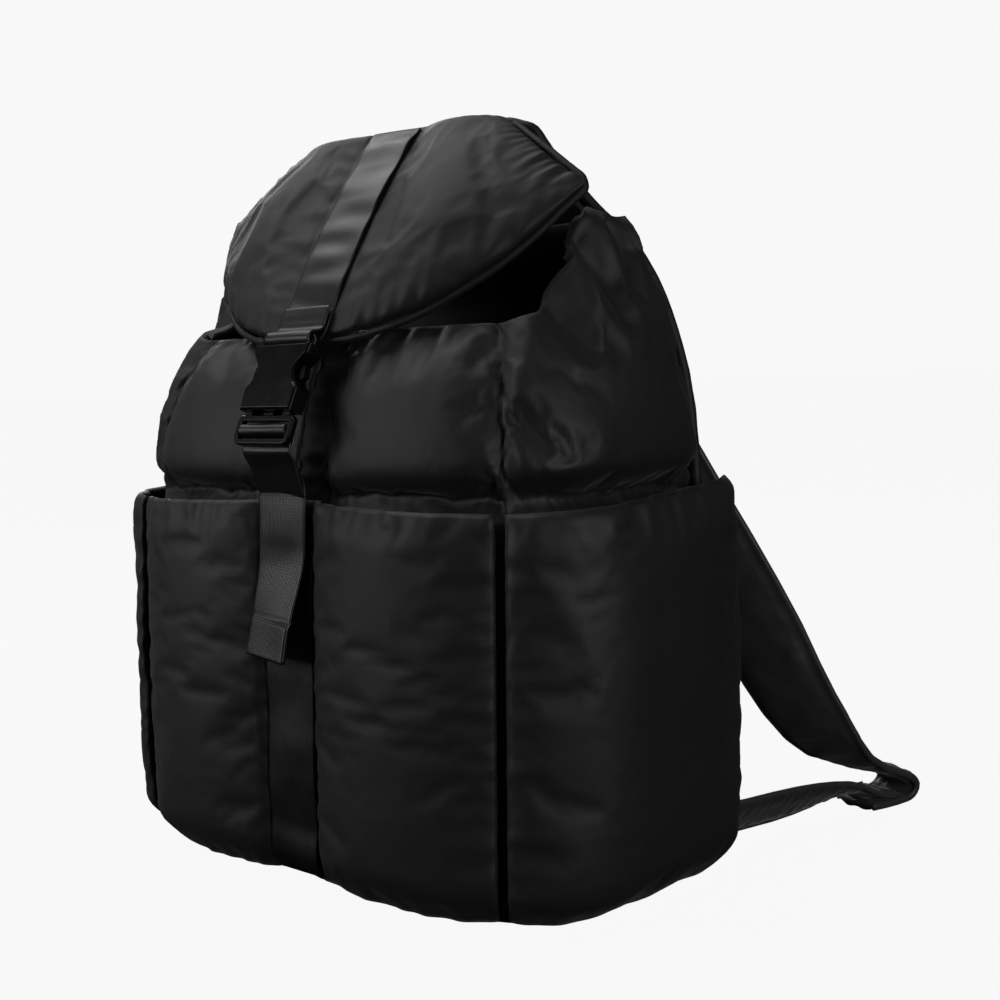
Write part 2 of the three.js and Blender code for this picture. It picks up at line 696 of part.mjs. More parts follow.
// A flat strap along a path of middle points; each row may widen, thicken, turn or lean it.
// Columns: x, y, z in millimetres, width, thickness, heading and lean of its width in degrees.
function strap(rows, count, sectionSegments, crown) {
  const curve = new THREE.CatmullRomCurve3(
    rows.map(([x, y, z]) => new THREE.Vector3(x, y, z)),
    false,
    "centripetal",
  );
  const stations = Array.from({ length: count }, (_, i) => {
    const t = i / (count - 1);
    const at = t * (rows.length - 1);
    const k = Math.min(Math.floor(at), rows.length - 2);
    const [width, thickness, heading, lean] = rows[k].slice(3).map((v, c) =>
      lerp(v, rows[k + 1][c + 3], at - k),
    );
    const tangent = curve.getTangent(t);
    const [turn, up] = [degrees(heading), degrees(lean)];
    const across = new THREE.Vector3(
      Math.cos(turn) * Math.cos(up),
      Math.sin(turn) * Math.cos(up),
      Math.sin(up),
    );
    across.addScaledVector(tangent, -across.dot(tangent)).normalize();
    const facing = tangent.clone().cross(across);
    return { middle: curve.getPoint(t), across, facing, width, thickness };
  });
  return band(stations, sectionSegments, crown);
}

const webbingRow = (p, heading = 0, thickness = WEBBING_THICKNESS) => [
  p.x, p.y, p.z, WEBBING_WIDTH, thickness, heading, 0,
];

// The flap's webbing: down the middle of the flap, behind the socket's bar, up through its slot and back up over
// itself to a sewn end.
const LOOP = [
  [1.5, -3.5],
  [4.0, -3.1],
  [4.9, -1.2],
  [4.9, 1.2],
  [4.0, 3.1],
  [1.5, 3.5],
  [-0.9, 3.1],
  [-2.6, 1.0],
];
function flapWebbing() {
  const seat = FLAP_EDGE / 2 + SEAT_GAP + WEBBING_THICKNESS / 2 + 0.3;
  const over = seat + WEBBING_THICKNESS + SEAT_GAP;
  const lay = (v, off) => flapMiddle(0, v).addScaledVector(flapNormal(0, v), off);
  const down = [0.03, 0.12, 0.22, 0.32, 0.42, 0.52, 0.62, 0.72, 0.82, 0.9, 0.96].map((v) => lay(v, seat));
  const loop = LOOP.map(([h, n]) => onBuckle(h, n));
  const back = [0.955, 0.92, 0.87].map((v) => lay(v, over));
  const rows = [...down, ...loop, ...back].map((p) => webbingRow(p));
  return strap(rows, 1 + 2 * (rows.length - 1), 1, 0);
}

// The front webbing: sewn up the middle of the front pockets, then loose up to the plug, over its middle bar and
// down behind its last bar to a free end with a folded hem.
const BEHIND_BAR = PLUG_THICKNESS / 2 + SEAT_GAP + WEBBING_THICKNESS / 2 + 0.4;
const UPPER_SLOT = PLUG_BARS[1] - SLOT / 2;
const LOWER_SLOT = PLUG_BARS[2] - SLOT / 2;
const MIDDLE_BAR = PLUG_BARS[1] + BAR / 2;
const ANCHORED = BEHIND_BAR + WEBBING_THICKNESS + SEAT_GAP + 0.2;
const TURN = [
  [PLUG_BARS[2] + 5, -ANCHORED],
  [PLUG_BARS[2], -ANCHORED],
  [MIDDLE_BAR + 1, -ANCHORED + 0.8],
  [UPPER_SLOT + 0.7, -BEHIND_BAR + 0.2],
  [UPPER_SLOT, -1.2],
  [UPPER_SLOT, 1.2],
  [UPPER_SLOT + 1.2, 3.0],
  [MIDDLE_BAR, 3.5],
  [LOWER_SLOT - 1.2, 3.0],
  [LOWER_SLOT, 1.2],
  [LOWER_SLOT, -1.4],
  [LOWER_SLOT + 1.1, -BEHIND_BAR + 0.2],
  [PLUG_BARS[2] + 2, -BEHIND_BAR - 0.2],
  [PLUG_BARS[2] + 5, -BEHIND_BAR],
];
// The free end below the plug. Columns: height as a share of the drop from the pocket's top to the free end,
// distance in front of the sewn strip, share of TAIL_SWAY.
const TAIL = [
  [-0.13, 5.2, 0],
  [0.04, 4.2, 0],
  [0.3, 3.4, 0.15],
  [0.55, 5.5, 0.45],
  [0.74, 9.0, 0.72],
];
// The tail's folded hem, with the same columns.
const HEM = [
  [0.76, 9.6, 0.75],
  [1, 12.5, 1],
];
const TAIL_TURN = -10;
function frontWebbing() {
  const seat = SEAM_GAP + POCKET_HEM + 3 * SEAT_GAP + WEBBING_THICKNESS / 2;
  const sewn = (z) => new THREE.Vector3(0, skinAt(z).yFront - seat, z);
  const foot = POCKET_FOOT + 2;
  const corner = SKIN[1][0] * NECK_HEIGHT;
  const sewnShares = [0, 0.08, 0.28, 0.53, 0.76, 0.97];
  const rise = [foot, ...sewnShares.map((share) => lerp(corner, POCKET_HEIGHT, share))].map(sewn);
  const turn = TURN.map(([h, n]) => onBuckle(h, n));
  const drop = POCKET_HEIGHT - TAIL_END_HEIGHT;
  const tailPoint = ([share, out, sway]) => {
    const p = sewn(POCKET_HEIGHT - drop * share);
    return new THREE.Vector3(-sway * TAIL_SWAY, p.y - out, p.z);
  };
  const rows = [...rise, ...turn].map((p) => webbingRow(p));
  for (const row of TAIL) rows.push(webbingRow(tailPoint(row), TAIL_TURN * row[2]));
  const hem = 2 * WEBBING_THICKNESS + 0.2;
  for (const row of HEM) rows.push(webbingRow(tailPoint(row), TAIL_TURN * row[2], hem));
  return strap(rows, 1 + 2 * (rows.length - 1), 1, 0);
}

// The shoulder strap from the top of the back panel to the floor, where it folds back under itself.
// Columns: x as a share of STRAP_SPREAD, y of STRAP_TRAIL, height of STRAP_RISE, width of STRAP_WIDTH, thickness of
// STRAP_THICKNESS, heading and lean of its width in degrees.
const SHOULDER = [
  [0.3, 0.202, 0.985, 1.0, 0.6, 0, 0],
  [0.32, 0.24, 0.93, 1.0, 0.9, 0, 0],
  [0.358, 0.3, 0.855, 1.0, 1.0, 3, 0],
  [0.442, 0.38, 0.724, 1.0, 1.0, 6, 0],
  [0.542, 0.467, 0.578, 1.0, 1.0, 9, 0],
  [0.637, 0.548, 0.451, 1.0, 1.0, 10, 0],
  [0.721, 0.629, 0.327, 1.0, 1.0, 10, 0],
  [0.779, 0.685, 0.227, 1.0, 1.0, 10, 0],
  [0.837, 0.744, 0.149, 0.95, 0.9, 8, 0],
  [0.895, 0.804, 0.095, 0.84, 0.75, 2, 0],
  [0.947, 0.875, 0.0676, 0.7, 0.62, -8, 0],
  [0.984, 0.942, 0.0514, 0.62, 0.52, -15, 0],
  [0.995, 0.967, 0.0324, 0.6, 0.48, -15, 0],
  [0.984, 0.95, 0.0162, 0.6, 0.48, -15, 0],
  [0.958, 0.8875, 0.0108, 0.6, 0.48, -15, 0],
  [0.932, 0.825, 0.0108, 0.6, 0.48, -15, 0],
];

// The lower strap stands on its edge behind the bag's bottom corner and ends inside the fold.
// Columns: as SHOULDER, with LOWER_STRAP_WIDTH and LOWER_STRAP_THICKNESS.
const LOWER = [
  [0.782, 0.271, 0.047, 1.0, 0.8, -15, 46],
  [0.81, 0.35, 0.0446, 1.0, 1.0, -15, 46],
  [0.848, 0.479, 0.0435, 1.0, 1.0, -15, 46],
  [0.884, 0.596, 0.0425, 0.95, 1.0, -15, 46],
  [0.91, 0.692, 0.0415, 0.8, 1.1, -15, 40],
  [0.929, 0.7625, 0.0405, 0.7, 1.3, -15, 28],
  [0.942, 0.817, 0.034, 0.72, 0.9, -15, 8],
  [0.955, 0.858, 0.0262, 0.78, 0.6, -15, 0],
  [0.968, 0.896, 0.0254, 0.8, 0.6, -15, 0],
];

function strapRows(table, width, thickness) {
  return table.map(([x, y, z, wide, thick, heading, lean]) => [
    x * STRAP_SPREAD,
    y * STRAP_TRAIL,
    z * STRAP_RISE,
    wide * width,
    thick * thickness,
    heading,
    lean,
  ]);
}

const shoulderStrap = () => strap(strapRows(SHOULDER, STRAP_WIDTH, STRAP_THICKNESS), 25, 4, 0.5);
const lowerStrap = () => strap(strapRows(LOWER, LOWER_STRAP_WIDTH, LOWER_STRAP_THICKNESS), 13, 4, 0.4);

const root = new THREE.Group();
root.add(named("main_bag", mainBag(), NYLON));
root.add(named("base_panel", basePanel(), NYLON_DARK));
root.add(...pair("front_pocket", frontPocket(), NYLON));
root.add(...pair("side_pocket", sidePocket(), NYLON));
root.add(named("back_panel", backPanel(), NYLON_DARK));
root.add(named("back_binding", backBinding(), NYLON_DARK));
root.add(named("flap", flap(), NYLON));
root.add(named("flap_piping", flapPiping(), NYLON_DARK));
root.add(named("flap_webbing", flapWebbing(), WEBBING));
root.add(named("front_webbing", frontWebbing(), WEBBING));
root.add(named("buckle_socket", buckleSocket(), PLASTIC));
root.add(named("buckle_plug", bucklePlug(), PLASTIC));
root.add(...pair("shoulder_strap", shoulderStrap(), NYLON));
root.add(...pair("lower_strap", lowerStrap(), NYLON));

export default root;
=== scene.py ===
# %% [markdown]
# # A quilted puffer backpack
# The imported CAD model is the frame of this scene: its solids fix the size and place of every piece. The bag,
# its pockets, its flap and its back are made again here as cloth: a grid laid on the same outline, swollen
# between its seams by a cloth simulation, and dressed in nylon. Straps and tapes are laid along the middles
# of their solids. The bag's sizes are in millimetres, and turn into metres when a mesh is made, because
# Blender and the frame both count in metres. Camera, lights and floor are given in metres.

import math

import bmesh
import bpy
import numpy as np
from mathutils import Matrix, Vector, noise


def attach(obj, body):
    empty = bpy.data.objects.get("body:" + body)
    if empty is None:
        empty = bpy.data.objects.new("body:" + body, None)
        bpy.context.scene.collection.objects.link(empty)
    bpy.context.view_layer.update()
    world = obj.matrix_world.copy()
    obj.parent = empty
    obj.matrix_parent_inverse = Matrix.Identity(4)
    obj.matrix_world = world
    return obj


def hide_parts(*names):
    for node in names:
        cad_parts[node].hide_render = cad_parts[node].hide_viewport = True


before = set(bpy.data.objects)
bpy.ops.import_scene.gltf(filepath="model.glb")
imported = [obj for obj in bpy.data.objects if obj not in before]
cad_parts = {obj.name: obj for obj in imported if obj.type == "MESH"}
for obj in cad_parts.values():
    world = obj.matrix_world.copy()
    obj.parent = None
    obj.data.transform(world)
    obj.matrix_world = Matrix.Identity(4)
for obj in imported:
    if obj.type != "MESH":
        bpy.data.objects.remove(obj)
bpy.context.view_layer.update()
MM = 0.001
scene = bpy.context.scene
scene.view_settings.view_transform = "Standard"
print("frame:", len(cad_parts), "nodes")

# %% [markdown]
# ## Camera
# The photograph looks at the bag's right front corner from a little above, with a slightly long lens. The
# camera is placed by its bearing, height and roll round a point inside the bag. These are easier to adjust
# than a position and three angles.

# %% Camera
AZIMUTH = math.radians(42.24)
ELEVATION = math.radians(4.91)
ROLL = math.radians(-1.94)
CAMERA_DISTANCE = 0.86918
AIM_ACROSS = 0.05048
AIM_HEIGHT = 0.20123
LENS = 53.07

reach = math.cos(ELEVATION)
away = Vector((math.sin(AZIMUTH) * reach, -math.cos(AZIMUTH) * reach, math.sin(ELEVATION)))
level = Vector((math.cos(AZIMUTH), math.sin(AZIMUTH), 0))
upward = away.cross(level)
across_view = math.cos(ROLL) * level + math.sin(ROLL) * upward
up_view = -math.sin(ROLL) * level + math.cos(ROLL) * upward
aim = AIM_ACROSS * level + Vector((0, 0, AIM_HEIGHT))
turned = Matrix((across_view, up_view, away)).transposed().to_4x4()
camera = bpy.data.objects.new("camera", bpy.data.cameras.new("camera"))
camera.data.lens = LENS
camera.data.sensor_width = 36
camera.data.clip_start = 0.01
camera.matrix_world = Matrix.Translation(aim + away * CAMERA_DISTANCE) @ turned
scene.collection.objects.link(camera)
scene.camera = camera
print("camera at", [round(x, 4) for x in camera.location])

# %% [markdown]
# ## Floor and light
# The bag is black, so it shows only what it reflects. A broad soft light overhead draws the tops of the
# puffs, one behind on the left draws the flap's left side, and two lower ones model the front and the right
# side. The floor is pale and plain. It looks bright to the camera and dim to the bag, so shadows stay deep.


# %% Floor
def shader_of(material):
    return material.node_tree.nodes["Principled BSDF"]


def new_material(name):
    material = bpy.data.materials.new(name)
    material.use_nodes = True
    return material


FLOOR_SIZE = 40
FLOOR_WHITE = (0.93, 0.93, 0.93, 1)
FLOOR_GLOW = 1.0
pale = new_material("pale_floor")
shader_of(pale).inputs["Base Color"].default_value = (0.02, 0.02, 0.02, 1)
shader_of(pale).inputs["Roughness"].default_value = 0.9
shader_of(pale).inputs["Specular IOR Level"].default_value = 0
shader_of(pale).inputs["Emission Color"].default_value = FLOOR_WHITE
seen = pale.node_tree.nodes.new("ShaderNodeLightPath")
glow = pale.node_tree.nodes.new("ShaderNodeMath")
glow.operation = "MULTIPLY"
glow.inputs[1].default_value = FLOOR_GLOW
pale.node_tree.links.new(seen.outputs["Is Camera Ray"], glow.inputs[0])
pale.node_tree.links.new(glow.outputs[0], shader_of(pale).inputs["Emission Strength"])

floor_bm = bmesh.new()
bmesh.ops.create_grid(floor_bm, x_segments=1, y_segments=1, size=FLOOR_SIZE)
floor_mesh = bpy.data.meshes.new("floor")
floor_bm.to_mesh(floor_mesh)
floor_bm.free()
floor = bpy.data.objects.new("floor", floor_mesh)
floor.data.materials.append(pale)
scene.collection.objects.link(floor)

# %% World and softboxes
WORLD_SEEN = 0.94
WORLD_FILL = 0.05
world = bpy.data.worlds.new("studio")
world.use_nodes = True
sky = world.node_tree.nodes["Background"]
sky.inputs["Color"].default_value = (1, 1, 1, 1)
path = world.node_tree.nodes.new("ShaderNodeLightPath")
strength = world.node_tree.nodes.new("ShaderNodeMapRange")
strength.inputs["To Min"].default_value = WORLD_FILL
strength.inputs["To Max"].default_value = WORLD_SEEN
world.node_tree.links.new(path.outputs["Is Camera Ray"], strength.inputs["Value"])
world.node_tree.links.new(strength.outputs["Result"], sky.inputs["Strength"])
scene.world = world


def softbox(name, place, target, size, power):
    """A rectangular softbox that hangs at a place and points at a target."""
    lamp = bpy.data.lights.new(name, "AREA")
    lamp.shape = "RECTANGLE"
    lamp.size, lamp.size_y = size
    lamp.energy = power
    light = bpy.data.objects.new(name, lamp)
    light.location = place
    light.rotation_euler = (Vector(target) - Vector(place)).to_track_quat("-Z", "Y").to_euler()
    scene.collection.objects.link(light)
    return light


softbox("overhead", (-0.7, -0.15, 1.6), (0, -0.02, 0.3), (1.1, 1.1), 10)
softbox("left_rear", (-1.5, 0.9, 1.0), (0, 0, 0.3), (0.8, 0.8), 8)
softbox("left_front", (-1.1, -1.4, 0.6), (0, 0, 0.15), (0.9, 0.9), 6.5)
softbox("right_side", (1.5, -0.4, 0.5), (0, 0.15, 0.1), (0.7, 0.7), 6)
print("studio: 4 softboxes")

# %% [markdown]
# ## The outline of the bag
# Seen from above, the bag is a rounded rectangle: its front corners are soft and its back corners are tight.
# Its rows are read from a short table, from the foot to the gathered neck. The bag and its pockets both start
# from this one outline, so they share their seams.

# %% Outline
NECK_HEIGHT = 358
HALF_WIDTH = 165
BODY_FRONT = 95
BODY_BACK = 51
BACK_HEIGHT = 406
BACK_SPLAY = 0.045
FRONT_ROUNDING = 4
BACK_ROUNDING = 12
NECK_CLIMB = (0.12, 0.68)
PANEL_ANGLES = {"front": (-90, -43), "side": (-43, 40), "back": (40, 90)}
# Height in front and behind, half width, reach to the front: shares of the lengths above.
# The last two columns are the puff and the ruffle.
SKIN = np.array(
    [
        [0.0135, 0.0135, 0.95, 0.95, 0, 0],
        [0.045, 0.045, 0.985, 1.0, 0, 0],
        [0.31, 0.31, 1.0, 0.98, 0, 0],
        [0.56, 0.56, 1.0, 0.94, 0, 0],
        [0.605, 0.605, 0.99, 0.93, 0, 0],
        [0.635, 0.635, 0.985, 0.92, 0.75, 0],
        [0.69, 0.7, 0.965, 0.87, 1.0, 0],
        [0.755, 0.8, 0.925, 0.79, 0.95, 0.15],
        [0.8, 0.885, 0.885, 0.71, 0.7, 0.45],
        [0.83, 0.955, 0.84, 0.65, 0.4, 0.8],
        [0.842, 1.0, 0.8, 0.62, 0.15, 1.0],
    ]
)
BACK_LINE = np.array(
    [
        [0.012, 1.0, 0.94],
        [0.05, 1.0, 0.97],
        [0.3, 1.0, 0.97],
        [0.52, 1.0, 0.965],
        [0.67, 0.98, 0.93],
        [0.78, 0.88, 0.855],
        [0.83, 0.8, 0.79],
        [0.9, 0.64, 0.63],
        [0.97, 0.36, 0.53],
        [1.0, 0.2, 0.5],
    ]
)


def soften(table, spread):
    """The same table read at 400 places, with its corners rounded over a spread of its first column."""
    at = np.linspace(table[0, 0], table[-1, 0], 400)
    step = at[1] - at[0]
    window = np.hanning(2 * max(int(spread / step), 1) + 3)[1:-1]
    window /= window.sum()
    reach = len(window) // 2
    columns = [at]
    for k in range(1, table.shape[1]):
        value = np.interp(at, table[:, 0], table[:, k])
        before = 2 * value[0] - value[reach:0:-1]
        after = 2 * value[-1] - value[-2 : -reach - 2 : -1]
        columns.append(np.convolve(np.concatenate([before, value, after]), window, "valid"))
    return np.array(columns).T


def read(table, at, column):
    return float(np.interp(at, table[:, 0], table[:, column]))


SKIN = soften(SKIN, 0.035)
BACK_LINE = soften(BACK_LINE, 0.05)


def back_at(z):
    return BODY_BACK * read(BACK_LINE, z / BACK_HEIGHT, 1)


def smooth(x, low, high):
    t = min(max((x - low) / (high - low), 0), 1)
    return t * t * (3 - 2 * t)


def pillow(share, power):
    """The profile of a pad between two seams: 0 at both and 1 half way, squarer as power falls."""
    return max(4 * share * (1 - share), 0) ** power


class Row:
    """One level of the bag's outline. A wrapped row runs on beside the back panel."""

    def __init__(self, front_height, wrap=0, climbs=True):
        at = front_height / NECK_HEIGHT
        back_height = read(SKIN, at, 1) * NECK_HEIGHT if climbs else front_height
        self.heights = (front_height, back_height)
        self.half = read(SKIN, at, 2) * HALF_WIDTH
        self.front = -read(SKIN, at, 3) * BODY_FRONT
        self.back = back_at(back_height) + wrap
        self.middle = (self.front + self.back) / 2
        self.puff = read(SKIN, at, 4)
        self.ruffle = read(SKIN, at, 5)
        self.panels = {}

    def corner(self, angle):
        c, s = math.cos(math.radians(angle)), math.sin(math.radians(angle))
        power = 2 / (FRONT_ROUNDING if s < 0 else BACK_ROUNDING)
        depth = self.middle - self.front if s < 0 else self.back - self.middle
        splay = 1 + (BACK_SPLAY * s**power if s > 0 else 0)
        return self.half * max(c, 0) ** power * splay, self.middle + math.copysign(abs(s) ** power, s) * depth

    def at(self, panel, share):
        """The point (x, y) of the outline a share of the way along a panel, and its outward normal."""
        if panel not in self.panels:
            points = np.array([self.corner(a) for a in np.linspace(*PANEL_ANGLES[panel], 97)])
            steps = np.hypot(*np.diff(points, axis=0).T)
            self.panels[panel] = (points, np.concatenate([[0], np.cumsum(steps)]))
        points, run = self.panels[panel]
        x, y = (float(np.interp(share * run[-1], run, points[:, k])) for k in (0, 1))
        behind = y > self.middle
        rounding = BACK_ROUNDING if behind else FRONT_ROUNDING
        half = self.half * (1 + BACK_SPLAY if behind else 1)
        depth = self.back - self.middle if behind else self.middle - self.front
        nx = (abs(x) / half) ** (rounding - 1) / half
        ny = math.copysign((abs(y - self.middle) / depth) ** (rounding - 1) / depth, y - self.middle)
        size = math.hypot(nx, ny)
        return x, y, nx / size, ny / size, run[-1]

    def height(self, y):
        depth = (y - self.front) / (self.back - self.front)
        rise = smooth(depth, *NECK_CLIMB)
        return self.heights[0] + (self.heights[1] - self.heights[0]) * rise


print("outline at 200 mm:", [round(v) for v in Row(200, climbs=False).at("side", 0.5)[:2]])

# %% [markdown]
# ## Cloth
# A panel of cloth starts as a flat grid from bmesh. A function then moves each of its points to its place on
# the bag. The grid gives even quads that run along the seams, which is what a cloth simulation needs to make
# good folds. A pad that is closed all round is the same grid with a thickness.


# %% Grids of cloth
def grid_piece(name, columns, rows, place, closed=False, merge=False):
    """A mesh object whose point (u, v, side) of a flat grid is moved to place(u, v, side), in millimetres."""
    bm = bmesh.new()
    bm.loops.layers.uv.new("UVMap")
    bmesh.ops.create_grid(bm, x_segments=columns, y_segments=rows, size=0.5, calc_uvs=True)
    if closed:
        bmesh.ops.solidify(bm, geom=bm.faces[:], thickness=1)
        if max(v.co.z for v in bm.verts) > 0.5:
            bmesh.ops.translate(bm, verts=bm.verts, vec=(0, 0, -1))
    flat = [(v.co.x + 0.5, v.co.y + 0.5, 0 if v.co.z < -0.5 else 1) for v in bm.verts]
    for vertex, (u, v, side) in zip(bm.verts, flat):
        vertex.co = Vector(place(u, v, side)) * MM
    if merge:
        bmesh.ops.remove_doubles(bm, verts=bm.verts, dist=0.00002)
    bmesh.ops.recalc_face_normals(bm, faces=bm.faces)
    for face in bm.faces:
        face.smooth = True
    mesh = bpy.data.meshes.new(name)
    bm.to_mesh(mesh)
    bm.free()
    piece = bpy.data.objects.new(name, mesh)
    scene.collection.objects.link(piece)
    return piece, (None if merge else flat)


def turn_outward(piece, centre):
    """An open sheet's normals are turned away from a centre, because nothing tells which side is out."""
    mesh = piece.data
    votes = sum((p.center - Vector(centre) * MM).dot(p.normal) * p.area for p in mesh.polygons)
    if votes < 0:
        mesh.flip_normals()


def thicken(piece, thickness):
    wall = piece.modifiers.new("wall", "SOLIDIFY")
    wall.thickness = thickness * MM
    wall.offset = -1


def refine(piece, levels=1):
    finer = piece.modifiers.new("finer", "SUBSURF")
    finer.levels = levels
    finer.render_levels = levels


# %% [markdown]
# ## Swelling the pads
# A puffer panel is a little larger than the outline that it is sewn to, and filled. Cloth shows this by
# itself: the seams are pinned, the cloth is given some slack and a pressure from inside, and in a few frames
# it swells and gathers along the seams. How far a point may move is capped, so the bag keeps its size.


# %% Swelling
def swell(piece, sewn, pressure, slack, cap, frames=20, bend=0.4):
    """Simulates a panel of cloth that is pinned where sewn is 1, and keeps the result as its mesh."""
    group = piece.vertex_groups.new(name="sewn")
    for index, weight in enumerate(sewn):
        if weight > 0:
            group.add([index], weight, "REPLACE")
    start = np.zeros(len(piece.data.vertices) * 3)
    piece.data.vertices.foreach_get("co", start)
    start = start.reshape(-1, 3)
    cloth = piece.modifiers.new("padding", "CLOTH")
    cloth.point_cache.frame_start = 1
    cloth.point_cache.frame_end = frames
    settings = cloth.settings
    settings.quality = 5
    settings.mass = 0.2
    settings.tension_stiffness = 15
    settings.compression_stiffness = 15
    settings.shear_stiffness = 5
    settings.bending_stiffness = bend
    settings.air_damping = 2
    settings.use_pressure = True
    settings.uniform_pressure_force = pressure
    settings.shrink_min = -slack
    settings.vertex_group_mass = "sewn"
    settings.effector_weights.gravity = 0
    for number in range(1, frames + 1):
        scene.frame_set(number)
    evaluated = piece.evaluated_get(bpy.context.evaluated_depsgraph_get())
    moved = np.zeros(len(evaluated.data.vertices) * 3)
    evaluated.data.vertices.foreach_get("co", moved)
    moved = moved.reshape(-1, 3) - start
    piece.modifiers.remove(cloth)
    far = np.linalg.norm(moved, axis=1)
    limit = cap * MM
    held = limit * np.tanh(far / limit)
    moved *= (held / np.maximum(far, 1e-9))[:, None]
    piece.data.vertices.foreach_set("co", (start + moved).ravel())
    piece.data.update()
    scene.frame_set(1)
    print(f"{piece.name}: swelled up to {far.max() * 1000:.1f} mm, kept within {cap} mm")


def pucker(along, from_seam, depth, pitch, reach, seed):
    """Small gathers beside a seam: they run away from it and fade with distance."""
    if from_seam > 5 * reach:
        return 0
    wave = noise.noise(Vector((along / pitch, seed, from_seam / (6 * reach))))
    return depth * wave * 1.6 * math.exp(-from_seam / reach)


# %% [markdown]
# ## The finish of the cloth
# The shell is a tightly woven nylon with a satin sheen. Two effects are node groups, so that every cloth can
# use them with its own values: a plain weave, and a soft crumple with a slow drift of tone.


# %% Node groups
def new_group(name, inputs, outputs):
    group = bpy.data.node_groups.new(name, "ShaderNodeTree")
    for socket, kind, value in inputs:
        made = group.interface.new_socket(name=socket, in_out="INPUT", socket_type=kind)
        if value is not None:
            made.default_value = value
    for socket, kind in outputs:
        group.interface.new_socket(name=socket, in_out="OUTPUT", socket_type=kind)
    entry = group.nodes.new("NodeGroupInput")
    leave = group.nodes.new("NodeGroupOutput")
    return group, entry, leave


def math_node(tree, operation, first, second=None):
    node = tree.nodes.new("ShaderNodeMath")
    node.operation = operation
    for socket, value in zip(node.inputs, (first, second)):
        if value is None:
            continue
        if isinstance(value, (int, float)):
            socket.default_value = value
        else:
            tree.links.new(value, socket)
    return node.outputs[0]


FLOAT, VECTOR = "NodeSocketFloat", "NodeSocketVector"
weave, weave_in, weave_out = new_group(
    "woven_threads", [("Vector", VECTOR, None), ("Threads", FLOAT, 1500.0)], [("Height", FLOAT)]
)
split = weave.nodes.new("ShaderNodeSeparateXYZ")
weave.links.new(weave_in.outputs["Vector"], split.inputs[0])
slant = math_node(weave, "ADD", split.outputs["X"], split.outputs["Y"])
threads_per_metre = weave_in.outputs["Threads"]
rising = math_node(weave, "ADD", slant, split.outputs["Z"])
falling = math_node(weave, "SUBTRACT", slant, split.outputs["Z"])
warp = math_node(weave, "SINE", math_node(weave, "MULTIPLY", rising, threads_per_metre))
weft = math_node(weave, "SINE", math_node(weave, "MULTIPLY", falling, threads_per_metre))
weave.links.new(math_node(weave, "MULTIPLY", warp, weft), weave_out.inputs["Height"])

crumple, crumple_in, crumple_out = new_group(
    "crumpled_cloth", [("Vector", VECTOR, None), ("Scale", FLOAT, 30.0)], [("Height", FLOAT), ("Tone", FLOAT)]
)
creases = crumple.nodes.new("ShaderNodeTexNoise")
creases.inputs["Detail"].default_value = 3
creases.inputs["Roughness"].default_value = 0.45
creases.inputs["Distortion"].default_value = 0.6
drift = crumple.nodes.new("ShaderNodeTexNoise")
drift.inputs["Detail"].default_value = 2
for texture, factor in ((creases, 1.0), (drift, 0.25)):
    crumple.links.new(crumple_in.outputs["Vector"], texture.inputs["Vector"])
    scale = math_node(crumple, "MULTIPLY", crumple_in.outputs["Scale"], factor)
    crumple.links.new(scale, texture.inputs["Scale"])
crumple.links.new(creases.outputs["Fac"], crumple_out.inputs["Height"])
crumple.links.new(drift.outputs["Fac"], crumple_out.inputs["Tone"])


# %% Nylon
def cloth_material(name, dark, light, roughness, sheen, threads, weave_depth, crumple_scale, crumple_depth):
    """Woven cloth: drifting tone, threads and crumple in its bump, and a soft sheen at its edges."""
    material = new_material(name)
    tree = material.node_tree
    shader = shader_of(material)
    place = tree.nodes.new("ShaderNodeTexCoord")
    threads_node = tree.nodes.new("ShaderNodeGroup")
    threads_node.node_tree = weave
    threads_node.inputs["Threads"].default_value = threads
    crumple_node = tree.nodes.new("ShaderNodeGroup")
    crumple_node.node_tree = crumple
    crumple_node.inputs["Scale"].default_value = crumple_scale
    for node in (threads_node, crumple_node):
        tree.links.new(place.outputs["Object"], node.inputs["Vector"])
    tone = tree.nodes.new("ShaderNodeMix")
    tone.data_type = "RGBA"
    tone.inputs["A"].default_value = (*dark, 1)
    tone.inputs["B"].default_value = (*light, 1)
    tree.links.new(crumple_node.outputs["Tone"], tone.inputs["Factor"])
    tree.links.new(tone.outputs["Result"], shader.inputs["Base Color"])
    rough = tree.nodes.new("ShaderNodeMapRange")
    rough.inputs["To Min"].default_value = roughness - 0.06
    rough.inputs["To Max"].default_value = roughness + 0.08
    tree.links.new(crumple_node.outputs["Tone"], rough.inputs["Value"])
    tree.links.new(rough.outputs["Result"], shader.inputs["Roughness"])
    fine = tree.nodes.new("ShaderNodeBump")
    fine.inputs["Strength"].default_value = 0.35
    fine.inputs["Distance"].default_value = weave_depth * MM
    coarse = tree.nodes.new("ShaderNodeBump")
    coarse.inputs["Strength"].default_value = 0.6
    coarse.inputs["Distance"].default_value = crumple_depth * MM
    tree.links.new(crumple_node.outputs["Height"], coarse.inputs["Height"])
    tree.links.new(coarse.outputs["Normal"], fine.inputs["Normal"])
    tree.links.new(threads_node.outputs["Height"], fine.inputs["Height"])
    tree.links.new(fine.outputs["Normal"], shader.inputs["Normal"])
    shader.inputs["Sheen Weight"].default_value = sheen
    shader.inputs["Sheen Roughness"].default_value = 0.35
    shader.inputs["Specular IOR Level"].default_value = 0.45
    return material


